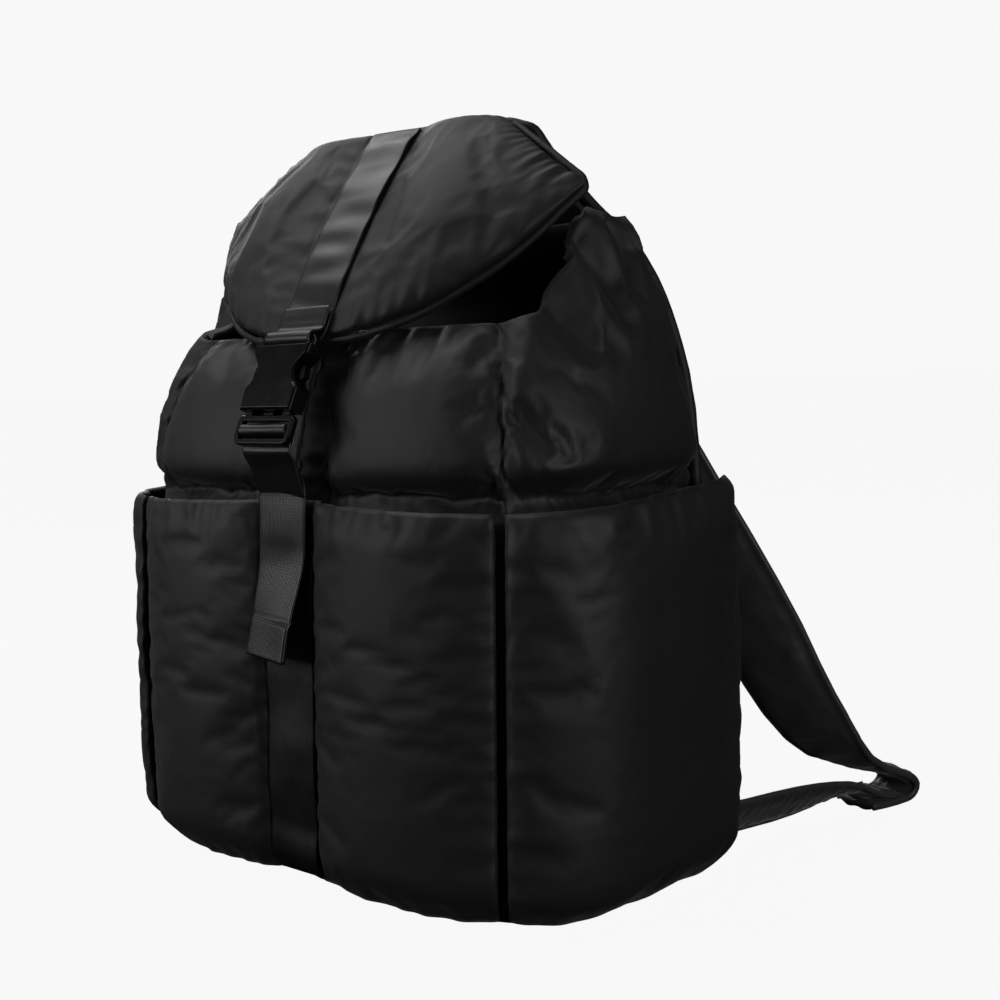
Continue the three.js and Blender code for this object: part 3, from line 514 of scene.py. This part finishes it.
nylon = cloth_material(
    "padded_nylon",
    dark=(0.010, 0.010, 0.0105),
    light=(0.016, 0.016, 0.017),
    roughness=0.56,
    sheen=0.1,
    threads=9000,
    weave_depth=0.02,
    crumple_scale=26,
    crumple_depth=1.6,
)
# The straps use the shell's nylon, made three to four times paler: the paler colour is painted light on the
# straps, where the softboxes reach them only weakly.
painted_light_strap_nylon = cloth_material(
    "painted_light_strap_nylon",
    dark=(0.032, 0.032, 0.033),
    light=(0.06, 0.06, 0.062),
    roughness=0.4,
    sheen=0.35,
    threads=6000,
    weave_depth=0.04,
    crumple_scale=60,
    crumple_depth=0.8,
)
dark_nylon = cloth_material(
    "dark_nylon",
    dark=(0.006, 0.006, 0.006),
    light=(0.010, 0.010, 0.010),
    roughness=0.6,
    sheen=0.05,
    threads=7000,
    weave_depth=0.03,
    crumple_scale=40,
    crumple_depth=0.6,
)
print("materials:", nylon.name, dark_nylon.name)


def finish_piece(piece, material, nodes):
    """A finished piece takes its material, rides on the bag and stands for its CAD nodes."""
    piece.data.materials.clear()
    piece.data.materials.append(material)
    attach(piece, "root")
    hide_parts(*nodes)
    triangles = sum(len(p.vertices) - 2 for p in piece.data.polygons)
    print(f"{piece.name}: {triangles} triangles before its modifiers")


# %% [markdown]
# ## The main bag
# The bag is one skin that runs once round. A flat strip runs down the middle of its front under the webbing,
# with a puff on each side of it, a large puff on each side panel and a gathered neck. Above the pockets the
# cloth tucks in. Pockets hide its lower half, so its grid is coarse there and fine above.

# %% Main bag
TUCK_HEIGHT = 213
TUCK_DEPTH = {"front": 13, "side": 16}
TUCK_REACH = {"front": 7, "side": 10}
SEAT = 22
SEAT_SHARE = SEAT / 150
BODY_PUFF = 13
PUFF_SHARE = {"front": 0.8, "side": 1.0, "back": 0}
PUFF_POWER = {"front": 0.5, "side": 0.4, "back": 1}
FRONT_COLUMNS = np.concatenate([np.linspace(0, SEAT_SHARE, 5)[:-1], np.linspace(SEAT_SHARE, 1, 49)])
SIDE_COLUMNS = np.linspace(0, 1, 77)[1:]
BACK_COLUMNS = np.linspace(0, 1, 13)[1:]
PANEL_COLUMNS = {"front": FRONT_COLUMNS, "side": SIDE_COLUMNS, "back": BACK_COLUMNS}
HALF_RING = [(panel, share) for panel, columns in PANEL_COLUMNS.items() for share in columns]
RING = [(p, s, 1) for p, s in HALF_RING] + [(p, s, -1) for p, s in HALF_RING[-2::-1]]
BAG_ROWS = np.concatenate([[4.833, 16.1, 40, 80, 120, 160, 185], np.linspace(198, 301.2, 58)])
bag_rows = [Row(z) for z in BAG_ROWS]

# The folds that the gathered neck sends down the side panel: start and end (y, z), width and depth.
NECK_FOLDS = (
    ((-46, 318), (-70, 268), 5, 12),
    ((-64, 302), (-68, 262), 4, 7),
    ((-28, 332), (-34, 286), 5, 8),
    ((-10, 345), (-2, 300), 6, 7),
    ((16, 350), (22, 310), 6, 5),
)


LOWEST_FREE_HEIGHT = 206
NECK_BUMP = 8
NECK_BUMP_PITCH = 13
RUFFLE_DEPTH = 6.5
RUFFLE_PITCH = 11


def fold(y, z, start, end, width, depth):
    """A valley along a line with a ridge on each side."""
    a, b, p = Vector(start), Vector(end), Vector((y, z))
    run = b - a
    t = min(max((p - a).dot(run) / run.length_squared, 0), 1)
    d = (p - a - run * t).length / width
    fade = 1 - 0.6 * t
    return depth * fade * (0.55 * math.exp(-((d - 1.7) ** 2)) - math.exp(-d * d))


def bag_point(u, v, side):
    row = bag_rows[round(v * (len(bag_rows) - 1))]
    panel, share, mirror = RING[round(u * (len(RING) - 1))]
    x, y, nx, ny, length = row.at(panel, share)
    across = (share - SEAT_SHARE) / (1 - SEAT_SHARE) if panel == "front" else share
    across = min(max(across, 0), 1)
    out = row.puff * BODY_PUFF * PUFF_SHARE[panel] * pillow(across, PUFF_POWER[panel]) * 0.8
    z = row.height(y)
    if panel != "back" and z > 190:
        seam = min(across, 1 - across) * length
        out += pucker(z + 300 * across, seam, 2.2, 9, 9, 3.1 * mirror)
        tuck = math.exp(-(((z - TUCK_HEIGHT) / TUCK_REACH[panel]) ** 2))
        out -= TUCK_DEPTH[panel] * (0.5 + 0.5 * across) * pillow(across, 0.3) * tuck
        if panel == "side":
            out += sum(fold(y, z, *each) for each in NECK_FOLDS) * smooth(z, 230, 270)
        near_top = row.heights[0] - 301.4
        ruffle = noise.noise(Vector((share * length / RUFFLE_PITCH, 7.3 * mirror, near_top / 30)))
        out += row.ruffle * RUFFLE_DEPTH * ruffle * pillow(across, 0.3)
        if panel == "side":
            bump = noise.noise(Vector((share * length / NECK_BUMP_PITCH, 4.1 * mirror, 2.2)))
            z += row.ruffle * NECK_BUMP * bump * pillow(share, 0.4)
    return mirror * (x + nx * out), y + ny * out, z


bag, bag_flat = grid_piece("main_bag_shell", len(RING) - 1, len(BAG_ROWS) - 1, bag_point)
turn_outward(bag, (0, -20, 150))
bag_pins = []
for u, v, side in bag_flat:
    panel, share, mirror = RING[round(u * (len(RING) - 1))]
    z = BAG_ROWS[round(v * (len(BAG_ROWS) - 1))]
    on_seat = panel == "front" and share <= SEAT_SHARE + 0.001
    free = z > LOWEST_FREE_HEIGHT and v < 1 and panel != "back" and 0 < share < 1 and not on_seat
    bag_pins.append(0 if free else 1)
swell(bag, bag_pins, 2.5, 0.035, 7)


# %% Close the bag's ring and floor, and thicken its wall
def close_ring(piece):
    """Joins the first and last columns, and caps the foot."""
    bm = bmesh.new()
    bm.from_mesh(piece.data)
    bmesh.ops.remove_doubles(bm, verts=bm.verts, dist=0.00005)
    foot = [e for e in bm.edges if e.is_boundary and max(v.co.z for v in e.verts) < 0.006]
    centre = bmesh.ops.extrude_edge_only(bm, edges=foot)
    inner = [g for g in centre["geom"] if isinstance(g, bmesh.types.BMVert)]
    bmesh.ops.scale(bm, verts=inner, vec=(0.02, 0.02, 1))
    bmesh.ops.remove_doubles(bm, verts=inner, dist=0.02)
    for face in bm.faces:
        face.smooth = True
    bm.to_mesh(piece.data)
    bm.free()


close_ring(bag)
turn_outward(bag, (0, -20, 150))
thicken(bag, 6.5)
finish_piece(bag, nylon, ["main_bag"])

# %% [markdown]
# ## Pockets
# Each pocket is one padded wall, sewn to the bag at its foot and sides and open at the top, where a narrow
# hem gathers it. It swells evenly, so from the front it reads as a tall cushion with a dark line above.

# %% Pocket shape
POCKET_FOOT = 1.6
POCKET_FOOT_LIFT = 3.2
POCKET_HEM = 4.8
POCKET_CLIMB = np.array(
    [
        [0, 0.3],
        [0.02, 0.6],
        [0.055, 0.84],
        [0.12, 0.95],
        [0.24, 1.0],
        [0.5, 1.0],
        [0.78, 0.98],
        [0.92, 0.96],
        [0.98, 0.9],
        [1, 0.74],
    ]
)
POCKET_CLIMB = soften(POCKET_CLIMB, 0.03)
POCKETS = {
    "front": {
        "seams": (0.004, 0.985),
        "depth": (20, 20),
        "rise": -3,
        "start": 211,
        "power": 0.42,
        "wrap": 0,
        "columns": 60,
    },
    "side": {
        "seams": (0.015, 0.985),
        "depth": (30, 26),
        "rise": 9,
        "start": 208,
        "power": 0.34,
        "wrap": 10,
        "columns": 84,
    },
}
POCKET_ROWS = 76
SIDE_EDGE = 0.75
level_rows = {}


def pocket_point(kind, mirror, seed, u, v):
    """The point of a pocket's outside, at share u from its front seam and share v of the way up."""
    pocket = POCKETS[kind]
    share = pocket["seams"][0] + (pocket["seams"][1] - pocket["seams"][0]) * u
    across = (share - SEAT_SHARE) / (1 - SEAT_SHARE) if kind == "front" else share
    across = min(max(across, 0), 1)
    top_height = pocket["start"] + pocket["rise"] * across
    foot = POCKET_FOOT + POCKET_FOOT_LIFT * (1 - pillow(across, 0.5))
    z = foot + (top_height - foot) * v
    key = (kind, round(z, 2))
    if key not in level_rows:
        level_rows[key] = Row(z, pocket["wrap"], climbs=False)
    x, y, nx, ny, length = level_rows[key].at(kind, share)
    swell_across = pillow(across, pocket["power"])
    if kind == "side" and across > 0.5:
        swell_across = max(swell_across, SIDE_EDGE)
    depth = pocket["depth"][0] + (pocket["depth"][1] - pocket["depth"][0]) * across
    out = POCKET_HEM + (depth - POCKET_HEM) * read(POCKET_CLIMB, v, 1) * swell_across * 0.9
    seam = min(across, 1 - across) * length if kind == "side" else min(across * 3, 1 - across) * length
    out += pucker(z, seam, 1.6, 9, 9, seed)
    out += pucker(share * length, (1 - v) * 206, 2.6, 10, 12, seed + 9) * smooth(across, 0, 0.05)
    out += pucker(share * length, v * 206, 1.6, 12, 8, seed + 5)
    return mirror * (x + nx * out), y + ny * out, z


def pocket(kind, side_name, mirror, seed):
    columns = POCKETS[kind]["columns"]
    piece, flat = grid_piece(
        f"{kind}_pocket_{side_name}_pad",
        columns,
        POCKET_ROWS,
        lambda u, v, side: pocket_point(kind, mirror, seed, u, v),
    )
    turn_outward(piece, (0, -20, 105))
    seat = SEAT_SHARE if kind == "front" else 0
    pins = [0 if seat + 0.01 < u < 0.999 and 0.001 < v < 0.999 else 1 for u, v, side in flat]
    swell(piece, pins, 1.6, 0.009, 4)
    thicken(piece, 3.6)
    finish_piece(piece, nylon, [f"{kind}_pocket_{side_name}"])
    return piece


for seed, (kind, side_name, mirror) in enumerate(
    [("front", "right", 1), ("front", "left", -1), ("side", "right", 1), ("side", "left", -1)]
):
    pocket(kind, side_name, mirror, 11.7 + 3.3 * seed)

# %% [markdown]
# ## The flap
# The flap is a padded panel with a flat strip down its middle for the webbing, and a puff on each side. Its
# side edges and its curved rim end in a piping. It is a closed pad: only its upper face swells.

# %% Flap
FLAP_HEIGHT = 416
FLAP_SET_BACK = 4
FLAP_REAR_WIDTH = 164
FLAP_WIDTH = 292
FLAP_DROP = 122
FLAP_REACH = 78
FLAP_SIDE_CUT = 71
FLAP_DOME = 6
FLAP_PUFF = 13
FLAP_EDGE = 5
FLAP_PULL = 2.4
PIPING_SPACE = 2.4
CORNER_REACH = 2
REAR_SAG = 4
RIM_CURVE = 2.5
FLAP_RIM = np.array(
    [
        [0, 1.0],
        [0.19, 0.985],
        [0.38, 0.945],
        [0.53, 0.885],
        [0.65, 0.8],
        [0.77, 0.695],
        [0.87, 0.57],
        [0.94, 0.46],
        [1.0, 0.37],
    ]
)
FLAP_RIM = soften(FLAP_RIM, 0.08)


def flap_half(v):
    return (FLAP_REAR_WIDTH + (FLAP_WIDTH - FLAP_REAR_WIDTH) * v) / 2


def flap_middle(u, v):
    """The flap's middle surface: u runs from -1 to 1 across it, v from the rear edge to the rim."""
    side = abs(u)
    y_rim = -FLAP_REACH + FLAP_SIDE_CUT * side**RIM_CURVE
    y = FLAP_SET_BACK + (y_rim - FLAP_SET_BACK) * v
    rear = REAR_SAG * u * u
    drop = rear + (read(FLAP_RIM, side, 1) * FLAP_DROP - rear) * v
    dome = FLAP_DOME * pillow(v, 0.7) * (1 - 0.5 * side**4)
    return Vector((u * flap_half(v), y - 0.8 * dome, FLAP_HEIGHT - drop + 0.6 * dome))


def flap_normal(u, v):
    step = 0.02
    across = flap_middle(u + step, v) - flap_middle(u - step, v)
    down = flap_middle(u, min(v + step, 1)) - flap_middle(u, max(v - step, 0))
    return down.cross(across).normalized()


FLAP_SEAT_COLUMNS = 4
FLAP_PAD_COLUMNS = 42
FLAP_COLUMNS = 2 * (FLAP_SEAT_COLUMNS + FLAP_PAD_COLUMNS)
FLAP_ROWS = 52
FLAP_SEAT_PART = FLAP_SEAT_COLUMNS / (FLAP_SEAT_COLUMNS + FLAP_PAD_COLUMNS)


def flap_across(u):
    """How far across the padded part a column is: below 0 on the flat strip, 1 at the side edge."""
    return (abs(2 * u - 1) - FLAP_SEAT_PART) / (1 - FLAP_SEAT_PART)


def flap_point(u, v, side):
    sign = 1 if u > 0.5 else -1
    column = (flap_middle(sign * 0.5, 0) - flap_middle(sign * 0.5, 1)).length
    down = v * (1 - PIPING_SPACE / column)
    half = flap_half(down) - FLAP_PULL + CORNER_REACH * smooth(down, 0.7, 1)
    part = flap_across(u)
    padded = min(max(part, 0), 1)
    x = SEAT * (1 + part * (1 - FLAP_SEAT_PART) / FLAP_SEAT_PART) if part < 0 else SEAT + (half - SEAT) * part
    across = sign * x / flap_half(down)
    middle, normal = flap_middle(across, down), flap_normal(across, down)
    if side == 0:
        return middle - normal * (FLAP_EDGE / 2)
    from_rear = max(pillow(v, 0.5), 0.75 * smooth(v, -0.04, 0.08)) if v < 0.5 else pillow(v, 0.5)
    out = FLAP_EDGE / 2 + FLAP_PUFF * 0.75 * pillow(padded, 0.85) * from_rear
    rim = (1 - v) * column
    out += pucker(x * sign, rim, 3.0, 7, 8, 41) * smooth(padded, 0, 0.06)
    out += pucker(down * column, (1 - padded) * (half - SEAT), 2.4, 8, 7, 45 + sign)
    out += pucker(down * column, padded * (half - SEAT), 1.6, 9, 6, 49 + sign) * smooth(padded, 0, 0.03)
    return middle + normal * out


flap, flap_flat = grid_piece("flap_pad", FLAP_COLUMNS, FLAP_ROWS, flap_point, closed=True)
flap_pins = [
    0 if side and 0.001 < v < 0.999 and 0.01 < flap_across(u) < 0.999 else 1 for u, v, side in flap_flat
]
swell(flap, flap_pins, 1.2, 0.005, 2.5)
refine(flap)
finish_piece(flap, nylon, ["flap"])

# %% [markdown]
# ## The back panel
# The wearer's side is a flat padded panel that leans forward over the shoulders. The photograph doesn't show
# it, so it is a plain pad, a little thicker in its middle.

# %% Back panel
BACK_WIDTH = 326
BACK_THICKNESS = 10
SEAM_GAP = 0.8
BACK_COLUMNS_COUNT = 90
BACK_ROWS_COUNT = 110


def back_surface(z):
    rise = Vector((back_at(z + 1) - back_at(z - 1), 2)).normalized()
    normal = Vector((rise.y, -rise.x))
    off = SEAM_GAP + BACK_THICKNESS / 2
    half = read(BACK_LINE, z / BACK_HEIGHT, 2) * BACK_WIDTH / 2
    return back_at(z) + off * normal.x, z + off * normal.y, normal, half


def back_point(u, v, side):
    z = (BACK_LINE[0, 0] + (1 - BACK_LINE[0, 0]) * v) * BACK_HEIGHT
    y, height, normal, half = back_surface(z)
    x = (2 * u - 1) * half
    edge = min(half - abs(x), (1 - v) * 400, v * 400)
    out = -BACK_THICKNESS / 2
    if side:
        out = BACK_THICKNESS / 2 * (0.35 + 0.6 * min(edge / 22, 1) ** 0.5)
        out += pucker(z if half - abs(x) < 30 else x, edge, 1.2, 12, 6, 61)
    return x, y + out * normal.x, height + out * normal.y


back, back_flat = grid_piece("back_panel_pad", BACK_COLUMNS_COUNT, BACK_ROWS_COUNT, back_point, closed=True)
back_pins = [0 if side and 0.01 < u < 0.99 and 0.01 < v < 0.99 else 1 for u, v, side in back_flat]
swell(back, back_pins, 1.0, 0.01, 3, frames=12)
finish_piece(back, dark_nylon, ["back_panel"])

# %% [markdown]
# ## Straps, webbing and piping
# A strap keeps its width while it bends, so it is laid along the middle of its CAD solid. The solid is a tube
# of sections: starting from one end, each step to the neighbouring points reaches the next section. The new
# strip follows these sections with a finer profile. Its UV map runs across and along it, as the ribs and the
# stitches of a webbing need.


# %% Reading a strip's sections
def sections_of(node_name, starts_at):
    """The rings of points of a strip's solid, in order from the end whose points starts_at picks."""
    bm = bmesh.new()
    bm.from_mesh(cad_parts[node_name].data)
    bmesh.ops.remove_doubles(bm, verts=bm.verts, dist=0.00001)
    bm.verts.ensure_lookup_table()
    seen_verts, ring = set(), [v for v in bm.verts if starts_at(v.co / MM)]
    rings = []
    while ring:
        rings.append([v.co / MM for v in ring])
        seen_verts.update(v.index for v in ring)
        neighbours = {e.other_vert(v) for v in ring for e in v.link_edges}
        ring = sorted((v for v in neighbours if v.index not in seen_verts), key=lambda v: v.index)
    bm.free()
    return rings


ROUNDING_OF_BENDS = 3


class Strip:
    """The middle line of a strip's solid, with its frame, width and thickness at each section."""

    def __init__(self, node_name, starts_at):
        self.middles, self.across, self.widths, self.depths = [], [], [], []
        rings = sections_of(node_name, starts_at)
        for ring in rings:
            points = np.array([p[:] for p in ring])
            middle = (points.max(axis=0) + points.min(axis=0)) / 2 if len(ring) == 4 else points.mean(axis=0)
            axis = np.linalg.svd(points - middle)[2][0]
            if self.across and axis @ self.across[-1] < 0:
                axis = -axis
            self.middles.append(middle)
            self.across.append(axis)
        if self.across[len(rings) // 2][0] < 0:
            self.across = [-a for a in self.across]
        middles = np.array(self.middles)
        tangents = np.gradient(middles, axis=0)
        for k, ring in enumerate(rings):
            offsets = np.array([p[:] for p in ring]) - middles[k]
            facing = np.cross(tangents[k] / np.linalg.norm(tangents[k]), self.across[k])
            self.widths.append(np.ptp(offsets @ self.across[k]))
            self.depths.append(np.ptp(offsets @ facing))
        steps = np.linalg.norm(np.diff(middles, axis=0), axis=1)
        self.run = np.concatenate([[0], np.cumsum(steps)])
        self.length = self.run[-1]
        self.table = np.column_stack([self.run, middles, np.array(self.across), self.widths, self.depths])
        self.table = soften(self.table, ROUNDING_OF_BENDS)

    def at(self, v):
        """Middle, direction across, facing, width and depth a share v of the way along."""
        run = v * self.length
        row = [read(self.table, run, k) for k in range(1, 9)]
        ahead = [read(self.table, min(run + 1.5, self.length), k) for k in (1, 2, 3)]
        behind = [read(self.table, max(run - 1.5, 0), k) for k in (1, 2, 3)]
        tangent = (Vector(ahead) - Vector(behind)).normalized()
        across = Vector(row[3:6])
        across = (across - tangent * across.dot(tangent)).normalized()
        return Vector(row[:3]), across, tangent.cross(across), row[6], row[7]


def near(point, radius):
    return lambda p: (p - Vector(point)).length < radius


def around(u, edge_power):
    """A point of a strip's section: across from -1 to 1, and depth from 1 on its face to -1 on its back."""
    wave = 4 * u - 1 if u < 0.5 else 3 - 4 * u
    a = math.sin(wave * math.pi / 2)
    depth = (1 - abs(a) ** edge_power) ** (1 / edge_power)
    return a, depth if u < 0.5 else -depth


def strip_piece(name, strip, columns, rows, section, material, nodes):
    """A closed strip: section(u, v, width, depth) gives a point's way across, its way out, and its UV."""

    def place(u, v, side):
        middle, across, facing, width, depth = strip.at(v)
        a, f, _ = section(u, v, width, depth)
        return middle + across * a + facing * f

    piece, flat = grid_piece(name, columns, rows, place)
    bm = bmesh.new()
    bm.from_mesh(piece.data)
    uv_layer = bm.loops.layers.uv["UVMap"]
    for face in bm.faces:
        for loop in face.loops:
            u, v, _ = flat[loop.vert.index]
            loop[uv_layer].uv = (section(u, v, 1, 1)[2], v * strip.length * MM)
    bmesh.ops.remove_doubles(bm, verts=bm.verts, dist=0.000005)
    bmesh.ops.holes_fill(bm, edges=bm.edges, sides=0)
    bmesh.ops.recalc_face_normals(bm, faces=bm.faces)
    bm.to_mesh(piece.data)
    bm.free()
    finish_piece(piece, material, nodes)
    return piece


# %% [markdown]
# ## Webbing
# Nylon webbing is woven in fine ribs along its length, with a line of stitches beside each edge. It doesn't
# lie quite flat, so its shine comes and goes along the strip.


# %% Webbing material
# Metres, because they meet the UV map there. The stitch line is a share of the half width.
RIB_PITCH = 0.0012
PICK_PITCH = 0.0016
STITCH_PITCH = 0.0032
STITCH_LINE = 0.86
STITCH_HALF_WIDTH = 0.018


def webbing_material(name, width):
    material = new_material(name)
    tree = material.node_tree
    shader = shader_of(material)
    place = tree.nodes.new("ShaderNodeUVMap")
    place.uv_map = "UVMap"
    split = tree.nodes.new("ShaderNodeSeparateXYZ")
    tree.links.new(place.outputs["UV"], split.inputs[0])
    across = math_node(tree, "MULTIPLY", split.outputs["X"], width * MM / 2)
    ribs = math_node(tree, "SINE", math_node(tree, "MULTIPLY", across, 2 * math.pi / RIB_PITCH))
    pick_turns = math_node(tree, "MULTIPLY", split.outputs["Y"], 2 * math.pi / PICK_PITCH)
    picks = math_node(tree, "SINE", pick_turns)
    crossing = math_node(tree, "ADD", math_node(tree, "MULTIPLY", picks, 0.35), 0.65)
    woven = math_node(tree, "MULTIPLY", ribs, crossing)
    edge = math_node(tree, "ABSOLUTE", split.outputs["X"])
    off_seam = math_node(tree, "ABSOLUTE", math_node(tree, "SUBTRACT", edge, STITCH_LINE))
    seam = math_node(tree, "LESS_THAN", off_seam, STITCH_HALF_WIDTH)
    along = math_node(tree, "MULTIPLY", split.outputs["Y"], 2 * math.pi / STITCH_PITCH)
    dash = math_node(tree, "GREATER_THAN", math_node(tree, "SINE", along), -0.3)
    stitches = math_node(tree, "MULTIPLY", seam, dash)
    height = math_node(tree, "ADD", woven, math_node(tree, "MULTIPLY", stitches, 2.5))
    wear = tree.nodes.new("ShaderNodeTexNoise")
    wear.inputs["Scale"].default_value = 60
    wear.inputs["Detail"].default_value = 4
    tree.links.new(tree.nodes.new("ShaderNodeTexCoord").outputs["Object"], wear.inputs["Vector"])
    tone = tree.nodes.new("ShaderNodeMix")
    tone.data_type = "RGBA"
    tone.inputs["A"].default_value = (0.005, 0.005, 0.005, 1)
    tone.inputs["B"].default_value = (0.011, 0.011, 0.0115, 1)
    tree.links.new(wear.outputs["Fac"], tone.inputs["Factor"])
    tree.links.new(tone.outputs["Result"], shader.inputs["Base Color"])
    rough = tree.nodes.new("ShaderNodeMapRange")
    rough.inputs["To Min"].default_value = 0.26
    rough.inputs["To Max"].default_value = 0.46
    tree.links.new(wear.outputs["Fac"], rough.inputs["Value"])
    tree.links.new(rough.outputs["Result"], shader.inputs["Roughness"])
    bump = tree.nodes.new("ShaderNodeBump")
    bump.inputs["Strength"].default_value = 0.5
    bump.inputs["Distance"].default_value = 0.00012
    tree.links.new(height, bump.inputs["Height"])
    tree.links.new(bump.outputs["Normal"], shader.inputs["Normal"])
    shader.inputs["Specular IOR Level"].default_value = 0.6
    return material


WEBBING_WIDTH = 38
WEBBING_WAVE = 1.5
ribbed = webbing_material("ribbed_webbing", WEBBING_WIDTH)


def webbing_section(u, v, width, depth):
    a, f = around(u, 9)
    wave = WEBBING_WAVE * noise.noise(Vector((v * 14, a * 0.5, depth))) if width > 1 else 0
    return a * width / 2, f * depth / 2 + wave, a


flap_strip = Strip("flap_webbing", lambda p: p.y > -3)
strip_piece("flap_webbing_strip", flap_strip, 28, 150, webbing_section, ribbed, ["flap_webbing"])
front_strip = Strip("front_webbing", lambda p: p.z < 7.5)
strip_piece(
    "front_webbing_strip", front_strip, 28, 260, webbing_section, ribbed, ["front_webbing"]
)

# %% [markdown]
# ## Piping and binding
# A piping is a thin cord inside a folded tape. The binding round the back panel is a wider tape folded over
# its edge. Both are round tubes here, with small puckers along them.


# %% Piping and binding
def tube_section(radius, seed):
    def section(u, v, width, depth):
        turn = 2 * math.pi * u
        r = radius * (1 + 0.1 * noise.noise(Vector((v * 90, seed, math.cos(turn)))))
        return r * math.cos(turn), r * math.sin(turn), math.cos(turn)

    return section


piping_start = flap_middle(0.995, 0.08)
piping = Strip("flap_piping", near(piping_start, 3.2))
PIPING_RADIUS = 1.9
BINDING_RADIUS = 3.1
piping_section = tube_section(PIPING_RADIUS, seed=5)
strip_piece("flap_piping_cord", piping, 12, 320, piping_section, dark_nylon, ["flap_piping"])
BINDING_START = (162.2, 56.8, 20.3)
binding = Strip("back_binding", near(BINDING_START, 4.5))
binding_section = tube_section(BINDING_RADIUS, seed=6)
strip_piece(
    "back_binding_tape", binding, 14, 360, binding_section, dark_nylon, ["back_binding"]
)

# %% [markdown]
# ## Shoulder straps
# Each shoulder strap is a padded band with a bound edge on both sides. It trails from the top of the back to
# the floor, where it folds under itself. A narrower strap runs from the bag's bottom corner into that fold.
# The wrinkles of their covers are noise that runs in short ridges across them.


# %% Straps
EDGE_TAPE = 0.86


def strap_section(edge_half, seed, wrinkle):
    """A pad between two bound edges: the tape is a round bead beyond EDGE_TAPE of the half width."""

    def section(u, v, width, depth):
        a, f = around(u, 2)
        side = 1 if f >= 0 else -1
        if abs(a) > EDGE_TAPE:
            bead = (abs(a) - (1 + EDGE_TAPE) / 2) / ((1 - EDGE_TAPE) / 2)
            half = edge_half * max(1 - bead * bead, 0) ** 0.5
        else:
            half = edge_half * 0.4 + (depth / 2 - edge_half * 0.4) * (1 - (abs(a) / EDGE_TAPE) ** 3) ** 0.6
            gather = noise.noise(Vector((v * 34, a * 2.2 + seed, side * 3.1)))
            gather += 0.6 * noise.noise(Vector((v * 80, a * 1.4 + seed, side * 1.7)))
            inward = abs(a) / EDGE_TAPE
            half += wrinkle * gather * (0.35 + 0.65 * inward**2) * (1 - inward**8)
        return a * width / 2, side * half, a

    return section


for side_name, mirror, seed in (("right", 1, 2.3), ("left", -1, 8.9)):
    shoulder = Strip(f"shoulder_strap_{side_name}", lambda p: p.z > 358)
    strip_piece(
        f"shoulder_strap_{side_name}_pad",
        shoulder,
        44,
        230,
        strap_section(2.2, seed, 2.6),
        painted_light_strap_nylon,
        [f"shoulder_strap_{side_name}"],
    )
    lower = Strip(f"lower_strap_{side_name}", lambda p: p.y < 70)
    strip_piece(
        f"lower_strap_{side_name}_pad",
        lower,
        36,
        110,
        strap_section(1.8, seed + 4, 1.2),
        painted_light_strap_nylon,
        [f"lower_strap_{side_name}"],
    )

# %% [markdown]
# ## Buckle and base
# The buckle is moulded in one black plastic with a fine grain and faint smudges. The CAD solids of buckle and
# base already have their true shape: a copy is merged and its edges are rounded.


# %% Plastic and base material
def plastic_material(name):
    material = new_material(name)
    tree = material.node_tree
    shader = shader_of(material)
    place = tree.nodes.new("ShaderNodeTexCoord")
    grain = tree.nodes.new("ShaderNodeTexNoise")
    grain.inputs["Scale"].default_value = 1400
    grain.inputs["Detail"].default_value = 2
    smudge = tree.nodes.new("ShaderNodeTexNoise")
    smudge.inputs["Scale"].default_value = 90
    smudge.inputs["Detail"].default_value = 3
    for texture in (grain, smudge):
        tree.links.new(place.outputs["Object"], texture.inputs["Vector"])
    tone = tree.nodes.new("ShaderNodeMix")
    tone.data_type = "RGBA"
    tone.inputs["A"].default_value = (0.003, 0.003, 0.003, 1)
    tone.inputs["B"].default_value = (0.006, 0.006, 0.006, 1)
    tree.links.new(smudge.outputs["Fac"], tone.inputs["Factor"])
    tree.links.new(tone.outputs["Result"], shader.inputs["Base Color"])
    rough = tree.nodes.new("ShaderNodeMapRange")
    rough.inputs["To Min"].default_value = 0.16
    rough.inputs["To Max"].default_value = 0.3
    tree.links.new(smudge.outputs["Fac"], rough.inputs["Value"])
    tree.links.new(rough.outputs["Result"], shader.inputs["Roughness"])
    bump = tree.nodes.new("ShaderNodeBump")
    bump.inputs["Strength"].default_value = 0.25
    bump.inputs["Distance"].default_value = 0.00005
    tree.links.new(grain.outputs["Fac"], bump.inputs["Height"])
    tree.links.new(bump.outputs["Normal"], shader.inputs["Normal"])
    shader.inputs["Specular IOR Level"].default_value = 0.3
    return material


plastic = plastic_material("buckle_plastic")


# %% Rounded copies
def rounded_copy(node_name, piece_name, radius, material):
    """A merged copy of a rigid CAD solid with its sharp edges rounded."""
    bm = bmesh.new()
    bm.from_mesh(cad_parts[node_name].data)
    bmesh.ops.remove_doubles(bm, verts=bm.verts, dist=0.00001)
    bmesh.ops.dissolve_limit(bm, angle_limit=math.radians(1), verts=bm.verts, edges=bm.edges)
    mesh = bpy.data.meshes.new(piece_name)
    bm.to_mesh(mesh)
    bm.free()
    piece = bpy.data.objects.new(piece_name, mesh)
    scene.collection.objects.link(piece)
    bevel = piece.modifiers.new("rounding", "BEVEL")
    bevel.width = radius * MM
    bevel.segments = 2
    bevel.limit_method = "ANGLE"
    bevel.angle_limit = math.radians(28)
    bevel.harden_normals = False
    finish_piece(piece, material, [node_name])
    return piece


rounded_copy("buckle_socket", "buckle_socket_moulding", 0.45, plastic)
rounded_copy("buckle_plug", "buckle_plug_moulding", 0.4, plastic)
rounded_copy("base_panel", "base_panel_board", 1.0, dark_nylon)
